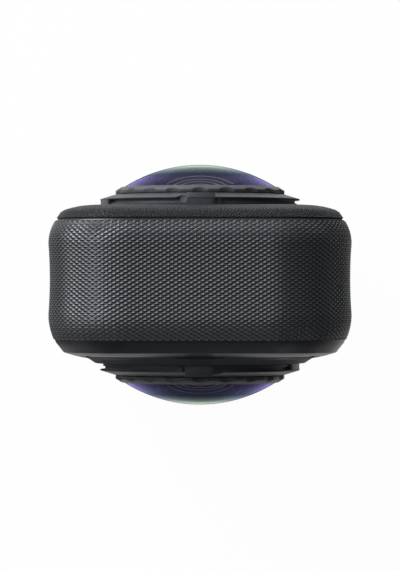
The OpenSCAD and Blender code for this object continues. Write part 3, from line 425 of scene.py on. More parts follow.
def knurled_plastic(tree, place, colour, roughness):
    """Moulded plastic diamonds: satin points over valleys, with painted shade making the valleys much darker
    and the points a little paler.
    """
    valley_gloss, gloss_spread, cloud_size = 0.3, 0.04, 0.5 * MM
    rise = add_node(tree, "ShaderNodeAttribute", attribute_type="GEOMETRY", attribute_name="rise")
    point_share = add_node(tree, "ShaderNodeMapRange", {
        "Value": rise.outputs["Fac"], "From Min": 0.02, "From Max": 0.45})
    # Painted shade: the colour runs from much darker in the valleys to a little paler at the points
    tone = add_node(tree, "ShaderNodeMix", {
        0: point_share.outputs["Result"], 6: shade(colour, 0.15), 7: shade(colour, 1.2)}, data_type="RGBA")
    cloud = add_node(tree, "ShaderNodeTexNoise", {"Vector": place, "Scale": 1 / cloud_size, "Detail": 2.0})
    satin = add_node(tree, "ShaderNodeMapRange", {
        "Value": cloud.outputs["Fac"],
        "To Min": roughness - gloss_spread, "To Max": roughness + gloss_spread})
    gloss = add_node(tree, "ShaderNodeMix", {
        0: point_share.outputs["Result"], 2: valley_gloss, 3: satin.outputs["Result"]}, data_type="FLOAT")
    return add_node(tree, "ShaderNodeBsdfPrincipled", {
        "Base Color": tone.outputs[2], "Roughness": gloss.outputs[0], "IOR": 1.6})


def hatched_plastic(tree, place, colour, pitch_mm, depth_mm, roughness):
    """Moulded plastic with a crossed hatch by its parting line: rows of tiny glints, partly painted
    highlights, that fade to grit.

    The hatch and its grit are drawn coarser than a mould leaves them, because that is too fine to show.
    """
    middle = (0, 0, -(BASE_Z + TOP_Z) / 2)
    grit_size, wander, hatch_end, plain_start = 0.35 * MM, 1.0 * MM, 11 * MM, 12 * MM
    turns = math.tau / (pitch_mm * math.sqrt(2) * MM)
    centred = add_node(tree, "ShaderNodeVectorMath", {0: place, 1: middle}, operation="ADD")
    sides = add_node(tree, "ShaderNodeVectorMath", {0: centred.outputs["Vector"]}, operation="ABSOLUTE")
    grit = add_node(tree, "ShaderNodeTexNoise", {"Vector": place, "Scale": 1 / grit_size, "Detail": 2.0})
    shift = add_node(tree, "ShaderNodeMath", {0: grit.outputs["Fac"], 1: wander}, operation="MULTIPLY")
    rises = []
    # Each set of lines has a direction that it is counted along, and a height
    for way, height in (((1.2, -2, -1.2), 0.9), ((1.4, 1.6, -1.4), 0.6)):
        across = add_node(tree, "ShaderNodeVectorMath", {
            0: sides.outputs["Vector"], 1: way}, operation="DOT_PRODUCT")
        along = add_node(tree, "ShaderNodeMath", {
            0: across.outputs["Value"], 1: shift.outputs["Value"]}, operation="ADD")
        turn = add_node(tree, "ShaderNodeMath", {0: along.outputs["Value"], 1: turns}, operation="MULTIPLY")
        wave = add_node(tree, "ShaderNodeMath", {0: turn.outputs["Value"]}, operation="SINE")
        rises.append(add_node(tree, "ShaderNodeMath", {
            0: wave.outputs["Value"], 1: height}, operation="MULTIPLY").outputs["Value"])
    crossed = add_node(tree, "ShaderNodeMath", {0: rises[0], 1: rises[1]}, operation="ADD")
    back = add_node(tree, "ShaderNodeSeparateXYZ", {"Vector": place}).outputs["Y"]
    fade = add_node(tree, "ShaderNodeMapRange", {
        "Value": back, "From Min": hatch_end, "From Max": plain_start, "To Min": 1.0, "To Max": 0.1})
    hatch = add_node(tree, "ShaderNodeMath", {
        0: crossed.outputs["Value"], 1: fade.outputs["Result"]}, operation="MULTIPLY")
    uneven = add_node(tree, "ShaderNodeMath", {
        0: hatch.outputs["Value"], 1: grit.outputs["Fac"]}, operation="ADD")
    rise = add_node(tree, "ShaderNodeMapRange", {
        "Value": uneven.outputs["Value"], "From Min": -0.5, "From Max": 1.5})
    # Painted shade and highlight: the hatch's low lines are coloured darker and its crests much paler
    tone = add_node(tree, "ShaderNodeMix", {
        0: rise.outputs["Result"], 6: shade(colour, 0.2), 7: shade(colour, 2.2)}, data_type="RGBA")
    gloss = add_node(tree, "ShaderNodeMapRange", {
        "Value": rise.outputs["Result"], "To Min": 0.8, "To Max": roughness})
    bump = add_node(tree, "ShaderNodeBump", {
        "Height": rise.outputs["Result"], "Strength": 1.0, "Distance": depth_mm * MM})
    # The index is below that of polycarbonate, 1.58, and was matched to the sheen of the object
    return add_node(tree, "ShaderNodeBsdfPrincipled", {
        "Base Color": tone.outputs[2], "Roughness": gloss.outputs["Result"], "IOR": 1.38,
        "Normal": bump.outputs["Normal"]})


def gloss_plastic(tree, place, colour, roughness, index=1.52):
    """Smooth hard plastic, film or glass: an even gloss with faint wipe marks, drawn out along Z."""
    mark_size = 5 * MM
    wipe = add_node(tree, "ShaderNodeMapping", {"Vector": place, "Scale": (1.0, 1.0, 0.25)})
    marks = add_node(tree, "ShaderNodeTexNoise", {
        "Vector": wipe.outputs["Vector"], "Scale": 1 / mark_size, "Detail": 4.0})
    gloss = add_node(tree, "ShaderNodeMapRange", {
        "Value": marks.outputs["Fac"], "From Min": 0.35, "From Max": 0.7,
        "To Min": roughness * 0.8, "To Max": roughness * 1.25})
    tone = add_node(tree, "ShaderNodeMix", {
        0: marks.outputs["Fac"], 6: shade(colour, 0.9), 7: shade(colour, 1.1)}, data_type="RGBA")
    return add_node(tree, "ShaderNodeBsdfPrincipled", {
        "Base Color": tone.outputs[2], "Roughness": gloss.outputs["Result"], "IOR": index})


def coated_glass(tree, place, index, rim_mm, tints):
    """Polished lens glass under thin coats: clear to look into, its glint changing colour outwards."""
    centred = add_node(tree, "ShaderNodeMapping", {
        "Vector": place, "Location": (0, 0, -LENS_Z), "Scale": (1, 0, 1)})
    reach = add_node(tree, "ShaderNodeVectorMath", {0: centred.outputs["Vector"]}, operation="LENGTH")
    share = add_node(tree, "ShaderNodeMath", {0: reach.outputs["Value"], 1: rim_mm * MM}, operation="DIVIDE")
    coat = add_node(tree, "ShaderNodeValToRGB", {"Fac": share.outputs["Value"]})
    stops = coat.color_ramp.elements
    while len(stops) < len(tints):
        stops.new(0.5)
    for stop, (at, code) in zip(stops, tints):
        stop.position = at
        stop.color = shade(linear(code))
    glint = add_node(tree, "ShaderNodeBsdfGlossy", {"Color": coat.outputs["Color"], "Roughness": 0.0})
    clear = add_node(tree, "ShaderNodeBsdfRefraction", {
        "Color": (1, 1, 1, 1), "Roughness": 0.0, "IOR": index})
    # The coats hold back the reflection of bare glass until it is seen at a slant
    bare = add_node(tree, "ShaderNodeFresnel", {"IOR": index})
    bounce = add_node(tree, "ShaderNodeMapRange", {
        "Value": bare.outputs["Fac"], "From Min": 0.085, "From Max": 0.55})
    return add_node(tree, "ShaderNodeMixShader", {
        0: bounce.outputs["Result"], 1: clear.outputs[0], 2: glint.outputs[0]})


def ringed_paint(tree, place, colour, line, radii_mm):
    """Black paint over turned steps: dark, with a thin pale ring at each step's edge, a painted highlight
    standing for the lit edge.
    """
    line_half, grit_size = 0.04 * MM, 0.3 * MM
    centred = add_node(tree, "ShaderNodeMapping", {
        "Vector": place, "Location": (0, 0, -LENS_Z), "Scale": (1, 0, 1)})
    reach = add_node(tree, "ShaderNodeVectorMath", {0: centred.outputs["Vector"]}, operation="LENGTH")
    edge = 0.0
    for radius in radii_mm:
        ring = add_node(tree, "ShaderNodeMath", {
            0: reach.outputs["Value"], 1: radius * MM, 2: line_half}, operation="COMPARE")
        edge = add_node(tree, "ShaderNodeMath", {
            0: edge, 1: ring.outputs["Value"]}, operation="MAXIMUM").outputs["Value"]
    grit = add_node(tree, "ShaderNodeTexNoise", {"Vector": place, "Scale": 1 / grit_size, "Detail": 2.0})
    dull = add_node(tree, "ShaderNodeMix", {
        0: grit.outputs["Fac"], 6: shade(colour, 0.8), 7: shade(colour, 1.2)}, data_type="RGBA")
    # Painted highlight: pale rings at the given radii stand for the lit edges of the steps
    tone = add_node(tree, "ShaderNodeMix", {0: edge, 6: dull.outputs[2], 7: shade(line)}, data_type="RGBA")
    return add_node(tree, "ShaderNodeBsdfPrincipled", {
        "Base Color": tone.outputs[2], "Roughness": 0.5, "IOR": 1.5})


def brushed_metal(tree, place, colour, roughness):
    """Pressed and brushed metal: straight scratches along X, drawn coarser than real ones to show."""
    scratch_size, gloss_spread = 0.15 * MM, 0.1
    stretch = add_node(tree, "ShaderNodeMapping", {"Vector": place, "Scale": (0.04, 1.0, 1.0)})
    lines = add_node(tree, "ShaderNodeTexNoise", {
        "Vector": stretch.outputs["Vector"], "Scale": 1 / scratch_size, "Detail": 3.0})
    gloss = add_node(tree, "ShaderNodeMapRange", {
        "Value": lines.outputs["Fac"],
        "To Min": roughness - gloss_spread, "To Max": roughness + gloss_spread})
    tone = add_node(tree, "ShaderNodeMix", {
        0: lines.outputs["Fac"], 6: shade(colour, 0.85), 7: shade(colour)}, data_type="RGBA")
    bump = add_node(tree, "ShaderNodeBump", {
        "Height": lines.outputs["Fac"], "Strength": 0.3, "Distance": 0.01 * MM})
    return add_node(tree, "ShaderNodeBsdfPrincipled", {
        "Base Color": tone.outputs[2], "Metallic": 1.0, "Roughness": gloss.outputs["Result"],
        "Normal": bump.outputs["Normal"]})


FINISHES = {}


def finish(slot):
    """The material of a slot, made when it is first asked for."""
    if slot not in FINISHES:
        FINISHES[slot] = new_finish(*recipe(slot))
    return FINISHES[slot]


def recipe(slot):
    """The name of a slot's material, the function that makes its nodes, and the values that it takes."""
    tones = settings().colours
    recipes = {
        "grip": ("Knurled polycarbonate", knurled_plastic, tones.grip, 0.28),
        "housing_plastic": ("Satin polycarbonate", moulded_plastic, tones.band, 0.34, 0.14, 0.004),
        "cover_grain": ("Fine-hatched polycarbonate", hatched_plastic, tones.cover, 0.44, 0.2, 0.3),
        # The index is below that of polycarbonate, 1.58, and was matched to the sheen of the object
        "panel_gloss": ("Hard-coated polycarbonate", gloss_plastic, tones.panel, 0.5, 1.1),
        "screen_glass": ("Black-backed cover glass", gloss_plastic, linear("#0a0b0d"), 0.06),
        "display": ("Laminated display glass", gloss_plastic, linear("#08090c"), 0.2),
        "steel": ("Brushed stainless steel", brushed_metal, linear("#b9babc"), 0.32),
        "mount_plastic": ("Satin glass-filled nylon", moulded_plastic, tones.mount, 0.46, 0.16, 0.008),
        "ring_plastic": ("Moulded ring polycarbonate", moulded_plastic, tones.ring, 0.44, 0.16, 0.008),
        "dome_glass": ("Coated dome glass", coated_glass, 1.52, 12, (
            (0.0, "#f2ffe8"), (0.32, "#e0f6d8"), (0.5, "#a8bcc0"),
            (0.7, "#707a98"), (0.85, "#a09cdc"), (1.0, "#b0a6f0"))),
        "hollow_glass": ("Coated hollow glass", coated_glass, 1.52, 8, (
            (0.0, "#323e4a"), (0.6, "#303850"), (1.0, "#3e3860"))),
        "lens_glass": ("Coated lens glass", coated_glass, 1.6, 6.3, (
            (0.0, "#3a4454"), (0.5, "#323a50"), (1.0, "#3a3650"))),
        # Its pale rings are painted highlights for the edges of the steps
        "baffle": ("Black baffle paint", ringed_paint, linear("#0c1016"), linear("#a0a6b4"),
                   (1.7, 2.4, 3.0, 3.8)),
        "rubber": ("Moulded silicone rubber", moulded_plastic, linear("#17181a"), 0.75, 0.2, 0.01),
        "barrel_black": ("Black anti-glare paint", moulded_plastic, linear("#0c0d12"), 0.3, 0.1, 0.004),
        "board": ("Green solder mask", gloss_plastic, linear("#0f3d26"), 0.35),
        "sensor": ("Sensor cover glass", gloss_plastic, linear("#2a2233"), 0.08),
        "aluminium": ("Die-cast aluminium", brushed_metal, linear("#c3c5c9"), 0.42),
        "pad": ("Silicone thermal pad", moulded_plastic, linear("#8fa3b8"), 0.7, 0.3, 0.01),
        "flex": ("Polyimide film", gloss_plastic, linear("#a5661c"), 0.3),
        "battery_wrap": ("Grained ABS", moulded_plastic, linear("#2b2c2e"), 0.5, 0.2, 0.01),
        "gold": ("Gold-plated brass", brushed_metal, linear("#e2b65c"), 0.3),
        "latch_plastic": ("Satin acetal", moulded_plastic, linear("#35373a"), 0.45, 0.2, 0.008),
        "shutter_plastic": ("Red moulded acrylic", moulded_plastic, tones.shutter, 0.3, 0.3, 0.004),
        "key_plastic": ("Satin ABS", moulded_plastic, linear("#2c2e31"), 0.4, 0.2, 0.008),
        "light_pipe": ("Milky moulded acrylic", gloss_plastic, linear("#c9ced4"), 0.2),
    }
    return recipes[slot]


# Pieces
class POCKETCAM_OT_grip(bpy.types.Operator):
    """Sweeps the body's side profile round its outline, draws it as diamonds and raises a point on each"""

    bl_idname = "pocketcam.grip"
    bl_label = "Grip texture"
    bl_options = {"REGISTER", "UNDO"}

    # Tools through the sides, in millimetres: lowest and highest Y, lowest and highest Z, corner radius
    door = (-5.9, 7.7, 17.2, 66.8, 2.8)
    door_gap = (-6.15, 7.95, 16.95, 67.05, 3.05)
    latches = ((-2.85, 4.65, 55.9, 65.5, 0.3), (-2.85, 4.65, 18.5, 28.1, 0.3))
    flap = (-4.55, 6.35, 18.3, 33.45, 0.3)
    flap_gap = (-4.75, 6.55, 16.4, 33.65, 0.2)
    speaker_holes = ((-1.9, -0.7, 13.8, 15, 0.59), (0.3, 1.5, 13.8, 15, 0.59), (2.5, 3.7, 13.8, 15, 0.59))
    microphone_hole = (0.3, 1.5, 83.4, 84.6, 0.59)

    def execute(self, context):
        skin = self.swept_band()
        self.diamonds(skin)
        door, flap = twin(skin, "battery_door_grip"), twin(skin, "charging_door_grip")
        skin.name = skin.data.name = "body_grip"
        cut(skin, self.openings())
        cut(door, self.side_tool(1, *self.door), "INTERSECT")
        cut(door, joined([self.side_tool(1, *latch) for latch in self.latches]))
        cut(flap, self.side_tool(-1, *self.flap), "INTERSECT")
        for piece, body in ((skin, "camera"), (door, "battery"), (flap, "charging_door")):
            dress(piece, body, "housing_plastic", look="grip")
        return {"FINISHED"}

    def swept_band(self):
        """The side's profile, three arcs, carried round the outline of the body."""
        grip = settings().grip
        back = math.degrees(math.asin(BACK_REACH / BACK_ROUND_R))
        front = math.degrees(math.asin(FRONT_REACH / FRONT_ROUND_R))
        waist_half = (BACK_ROUND_Y - FRONT_ROUND_Y) / 2
        waist_r = (waist_half ** 2 + WAIST_DEPTH ** 2) / (2 * WAIST_DEPTH)
        waist = 2 * math.degrees(math.asin(waist_half / waist_r))
        z = CORNER_LOW
        # The valleys stand this far proud of the housing
        lift = 0.012 * MM
        r_back = BACK_ROUND_R + lift
        start = (HALF_W - BACK_ROUND_R + r_back * math.cos(math.radians(back)),
                 BACK_ROUND_Y + r_back * math.sin(math.radians(back)), z)
        skin = first_point("grip_band", start)
        up = (0, 0, 1)
        draw_arc((HALF_W - BACK_ROUND_R, BACK_ROUND_Y, z), up, -back, grip.rows_back)
        draw_arc((HALF_W + lift + waist_r - WAIST_DEPTH, GRIP_Y, z), up, waist, grip.rows_waist)
        draw_arc((HALF_W - FRONT_ROUND_R, FRONT_ROUND_Y, z), up, -front, grip.rows_front)
        bpy.ops.mesh.select_all(action="SELECT")
        side = (CORNER_HIGH - CORNER_LOW) / grip.columns_side
        end = 2 * CORNER_X / grip.columns_end
        runs = [((0, 0, side), grip.columns_side, (CORNER_X, CORNER_HIGH)),
                ((-end, 0, 0), grip.columns_end, (-CORNER_X, CORNER_HIGH)),
                ((0, 0, -side), grip.columns_side, (-CORNER_X, CORNER_LOW)),
                ((end, 0, 0), grip.columns_end, (CORNER_X, CORNER_LOW))]
        for step, count, (x, z) in runs:
            bpy.ops.mesh.extrude_repeat(steps=count, offset=step)
            draw_arc((x, 0, z), (0, 1, 0), -90, grip.columns_corner)
        close_up(skin)
        return skin

    def diamonds(self, skin):
        """Splits the band's squares into diamonds, gives it depth and raises the outer ones to points."""
        grip = settings().grip
        corners = len(skin.data.vertices)
        edit(skin, "FACE")
        bpy.ops.mesh.poke()
        pick(skin, "edges", lambda e: len(e.link_faces) == 2 and max(v.index for v in e.verts) < corners)
        bpy.ops.mesh.dissolve_edges(use_verts=False)
        done()
        outer = len(skin.data.polygons)
        apply_modifier(skin, "SOLIDIFY", thickness=grip.skin, offset=-1.0, use_rim=True)
        valleys = len(skin.data.vertices)
        edit(skin, "FACE")
        pick(skin, "faces", lambda f: f.index < outer)
        bpy.ops.mesh.poke(offset=grip.height)
        done()
        # Marks the points, from which the grip's finish paints shade into the valleys and paler points
        rise = skin.data.attributes.new("rise", "FLOAT", "POINT")
        for point in range(valleys, len(skin.data.vertices)):
            rise.data[point].value = 1.0

    def side_tool(self, side, low_y, high_y, low_z, high_z, radius):
        """A tool through the right side of the body, 1, or the left side, -1, from sizes in millimetres."""
        inside, outside = 15, 25
        low_x, high_x = sorted((side * inside, side * outside))
        low = [low_x * MM, low_y * MM, low_z * MM]
        high = [high_x * MM, high_y * MM, high_z * MM]
        return rounded_block("side_tool", low, high, "X", radius * MM)

    def openings(self):
        """One tool for all the openings that the skin leaves."""
        # A button's flange runs this far past its opening
        flange = 0.55
        buttons = [(-1.25, 3.05, low.z / MM + flange, high.z / MM - flange, 2.1)
                   for low, high in (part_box("quick_button"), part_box("power_button"))]
        right = (self.door_gap, *self.speaker_holes, self.microphone_hole)
        left = (self.flap_gap, *buttons, self.microphone_hole)
        tools = [self.side_tool(1, *sizes) for sizes in right]
        tools += [self.side_tool(-1, *sizes) for sizes in left]
        foot_x, foot_y, foot_z = 13.25 * MM, 6.75 * MM, 2 * MM
        tools.append(rounded_block(
            "foot_tool", (-foot_x, -foot_y, -foot_z), (foot_x, foot_y, foot_z), "Z", 2.2 * MM))
        return joined(tools)


class POCKETCAM_OT_shell(bpy.types.Operator):
    """Takes the housing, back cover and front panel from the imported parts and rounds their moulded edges"""

    bl_idname = "pocketcam.shell"
    bl_label = "Housing and covers"
    bl_options = {"REGISTER", "UNDO"}

    def execute(self, context):
        edge = settings().edges.moulded
        for node, name, slot in (("main_housing", "housing_shell", "housing_plastic"),
                                 ("back_cover", "back_shell", "cover_grain"),
                                 ("front_panel", "front_shell", "panel_gloss"),
                                 ("screen_glass", "screen_pane", "screen_glass")):
            moulding(node, name, edge, "camera", slot)
        return {"FINISHED"}


class POCKETCAM_OT_lens_mounts(bpy.types.Operator):
    """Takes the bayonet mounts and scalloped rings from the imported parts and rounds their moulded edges"""

    bl_idname = "pocketcam.lens_mounts"
    bl_label = "Lens mounts and rings"
    bl_options = {"REGISTER", "UNDO"}

    def execute(self, context):
        edge = settings().edges.moulded
        for side in ("front", "rear"):
            for part, slot, body in (("mount", "mount_plastic", "camera"),
                                     ("ring", "ring_plastic", f"{side}_lens_cell"),
                                     ("barrel", "barrel_black", "camera")):
                moulding(f"{side}_lens_{part}", f"{side}_{part}_moulding", edge, body, slot)
        return {"FINISHED"}


class POCKETCAM_OT_lens_glass(bpy.types.Operator):
    """Draws the section of each glass, turns it round the lens axis and copies it to the front"""

    bl_idname = "pocketcam.lens_glass"
    bl_label = "Lens glass"
    bl_options = {"REGISTER", "UNDO"}
    turn_steps = 144

    def execute(self, context):
        for maker, part, slot in ((self.dome, "dome_glass", "dome_glass"),
                                  (self.inner, "inner_lens", "lens_glass")):
            rear = maker(f"rear_{part}_piece")
            front = twin(rear, f"front_{part}_piece")
            half_turn(front)
            for side, piece in (("rear", rear), ("front", front)):
                body = f"{side}_lens_cell" if part == "dome_glass" else "camera"
                smooth(piece, 30)
                dress(piece, body, slot, f"{side}_{part}")
                self.paint(piece, "barrel_black", self.is_rim)
                if part == "dome_glass":
                    self.paint(piece, "hollow_glass", self.is_hollow)
                else:
                    self.paint(piece, "baffle", self.is_flat_back)
        return {"FINISHED"}

    def paint(self, piece, slot, test):
        """Gives some faces of a glass a finish of their own."""
        piece.data.materials.append(finish(slot))
        edit(piece)
        pick(piece, "faces", test)
        piece.active_material_index = len(piece.data.materials) - 1
        bpy.ops.object.material_slot_assign()
        done()

    def is_rim(self, face):
        """The ground rim: faces along or square to the lens axis, without those at the poles."""
        slope = abs(face.normal.y)
        inside = abs(face.calc_center_median().y) < 14.5 * MM
        return slope < 0.01 or slope > 0.9999 and face.calc_area() > 1e-9 and inside

    def is_hollow(self, face):
        """The hollow inside, whose faces look towards the lens axis."""
        place, way = face.calc_center_median(), face.normal
        return way.x * place.x + way.z * (place.z - LENS_Z) < -1e-8

    def is_flat_back(self, face):
        """The flat back of the inner lens, which carries the look of the stepped baffle behind it."""
        return abs(face.normal.y) > 0.9999 and abs(face.calc_center_median().y) < 12 * MM

    def dome(self, name):
        """A meniscus: a wide outer curve, a stepped rim and a deeper hollow inside."""
        low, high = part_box("rear_dome_glass")
        outer_r, hollow_r, rim_r, seat_r = 21.8 * MM, 8 * MM, high.x, 9.9 * MM
        thick, seat_height = 2.1 * MM, 1.6 * MM
        step_y = low.y + seat_height
        piece = first_point(name, (0, high.y, LENS_Z))
        turn = math.asin(rim_r / outer_r)
        draw_arc((0, high.y - outer_r, LENS_Z), (0, 0, 1), -math.degrees(turn), 40)
        rim_y = high.y - outer_r + outer_r * math.cos(turn)
        hollow_y = high.y - thick - hollow_r
        mouth_r = math.sqrt(hollow_r ** 2 - (low.y - hollow_y) ** 2)
        draw_line((0, step_y - rim_y, 0), (seat_r - rim_r, 0, 0),
                  (0, low.y - step_y, 0), (mouth_r - seat_r, 0, 0))
        draw_arc((0, hollow_y, LENS_Z), (0, 0, 1), math.degrees(math.asin(mouth_r / hollow_r)), 40)
        return self.turned(piece)

    def inner(self, name):
        """A thick front-curved lens with a flat back."""
        low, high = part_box("rear_inner_lens")
        ball_r, rim_r = 7.5 * MM, high.x
        piece = first_point(name, (0, high.y, LENS_Z))
        turn = math.asin(rim_r / ball_r)
        draw_arc((0, high.y - ball_r, LENS_Z), (0, 0, 1), -math.degrees(turn), 32)
        rim_y = high.y - ball_r + ball_r * math.cos(turn)
        draw_line((0, low.y - rim_y, 0), (-rim_r, 0, 0))
        return self.turned(piece)

    def turned(self, piece):
        """Turns a drawn section once round the lens axis."""
        bpy.ops.mesh.select_all(action="SELECT")
        draw_arc((0, 0, LENS_Z), (0, 1, 0), 360, self.turn_steps)
        close_up(piece)
        return piece


class POCKETCAM_OT_controls(bpy.types.Operator):
    """Takes the buttons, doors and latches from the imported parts, rounds them and dishes two buttons"""

    bl_idname = "pocketcam.controls"
    bl_label = "Buttons, doors and latches"
    bl_options = {"REGISTER", "UNDO"}
    dish_rim, dish_depth = 0.9 * MM, 0.22 * MM

    def execute(self, context):
        edges = settings().edges
        for node in ("shutter_button", "lens_button"):
            piece = cad_copy(node, f"{node}_cap")
            front_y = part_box(node)[0].y
            edit(piece)
            pick(piece, "faces", lambda f: (
                f.normal.y < -0.99 and abs(f.calc_center_median().y - front_y) < 1e-6))
            bpy.ops.mesh.inset(thickness=self.dish_rim)
            bpy.ops.transform.translate(value=(0, self.dish_depth, 0))
            done()
            soften(piece, edges.keys * 0.6, 3)
            dress(piece, node, "key_plastic", node)
        self.shutter_mark()
        for node in ("power_button", "quick_button"):
            moulding(node, f"{node}_cap", edges.keys, node, "key_plastic", 3)
        for node, body, slot in (("battery_door", "battery", "housing_plastic"),
                                 ("battery_pack", "battery", "battery_wrap"),
                                 ("upper_latch", "upper_latch", "latch_plastic"),
                                 ("lower_latch", "lower_latch", "latch_plastic"),
                                 ("usb_door", "charging_door", "housing_plastic")):
            moulding(node, f"{node}_moulding", edges.moulded, body, slot)
        return {"FINISHED"}

    def shutter_mark(self):
        """A shallow red disc let into the hollow of the shutter button."""
        low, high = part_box("shutter_button")
        middle = ((low.x + high.x) / 2, low.y + self.dish_depth, (low.z + high.z) / 2)
        piece = new_piece(bpy.ops.mesh.primitive_cylinder_add, "shutter_mark",
                          vertices=64, radius=1.9 * MM, depth=0.3 * MM)
        bpy.ops.transform.rotate(value=math.pi / 2, orient_axis="X", center_override=(0, 0, 0))
        bpy.ops.transform.translate(value=middle)
        done()
        soften(piece, 0.08 * MM)
        dress(piece, "shutter_button", "shutter_plastic")


class POCKETCAM_OT_tripod_mount(bpy.types.Operator):
    """Rounds the foot plate, insert and screws, cuts the screws' crosses and winds the insert's thread"""

    bl_idname = "pocketcam.tripod_mount"
    bl_label = "Tripod mount"
    bl_options = {"REGISTER", "UNDO"}

    def execute(self, context):
        edge = settings().edges.metal
        for node in ("foot_plate", "thread_insert", "foot_screws"):
            piece = cad_copy(node, f"{node}_metal")
            if node == "foot_screws":
                self.cross_recesses(piece)
            soften(piece, edge * (0.3 if node == "foot_screws" else 1))
            dress(piece, "camera", "steel", node)
        dress(self.thread(), "camera", "steel")
        return {"FINISHED"}

    def cross_recesses(self, screws):
        """Cuts the cross recess in the head of each foot screw, one bar of the cross and then the other."""
        low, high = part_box("foot_screws")
        head_r, half_length, half_width = 1.2 * MM, 0.75 * MM, 0.17 * MM
        below, above, corner = low.z - 0.5 * MM, low.z + 0.45 * MM, 0.1 * MM
        heads = [(x, y) for x in (low.x + head_r, high.x - head_r)
                 for y in (low.y + head_r, high.y - head_r)]
        for reach_x, reach_y in ((half_length, half_width), (half_width, half_length)):
            cut(screws, joined([
                rounded_block("recess_tool", (x - reach_x, y - reach_y, below),
                              (x + reach_x, y + reach_y, above), "Z", corner, 3) for x, y in heads]))

    def thread(self):
        """A ridge wound up inside the insert, a quarter inch across and twenty turns to the inch."""
        pitch, outer_r, inner_r = 1.27 * MM, 3.19 * MM, 2.68 * MM
        half, flat, start = 0.54 * MM, 0.08 * MM, 0.75 * MM
        piece = first_point("tripod_thread", (outer_r, 0, start - half))
        draw_line((inner_r - outer_r, 0, half - flat), (0, 0, 2 * flat), (outer_r - inner_r, 0, half - flat))
        bpy.ops.mesh.select_all(action="SELECT")
        bpy.ops.mesh.edge_face_add()
        bpy.ops.mesh.delete(type="ONLY_FACE")
        done()
        apply_modifier(piece, "SCREW", screw_offset=pitch, iterations=5, steps=64, axis="Z",
                       use_smooth_shade=False)
        edit(piece, "EDGE")
        bpy.ops.mesh.select_all(action="DESELECT")
        bpy.ops.mesh.select_non_manifold()
        bpy.ops.mesh.fill_holes(sides=8)
        close_up(piece)
        smooth(piece, 30)
        return piece


PLAIN_PARTS = {
    "rubber": ("cover_gasket", "front_lens_seal", "rear_lens_seal", "battery_seal", "usb_door_seal"),
    "display": ("display_panel",),
    "lens_glass": ("relay_lenses",),
    "sensor": ("image_sensors",),
    "board": ("sensor_boards", "main_board", "key_boards", "io_board"),
    "steel": ("lens_screws", "chassis_screws", "board_screws", "shield_cans", "card_socket", "tact_switches",
              "usb_door_pin", "usb_socket"),
    "aluminium": ("lens_chassis", "heat_spreader"),
    "pad": ("thermal_pads",),
    "flex": ("sensor_flexes",),
    "battery_wrap": ("battery_bay", "memory_card", "speaker"),
    "gold": ("battery_contacts", "microphones"),
    "barrel_black": ("mic_meshes",),
    "light_pipe": ("front_status_light", "rear_status_light"),
}


class POCKETCAM_OT_plain_parts(bpy.types.Operator):
    """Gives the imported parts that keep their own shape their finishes"""

    bl_idname = "pocketcam.plain_parts"
    bl_label = "Finishes of the inner parts"
    bl_options = {"REGISTER", "UNDO"}

    def execute(self, context):
        for slot, nodes in PLAIN_PARTS.items():
            for node in nodes:
                NODES[node].data.materials.clear()
                NODES[node].data.materials.append(finish(slot))
        return {"FINISHED"}


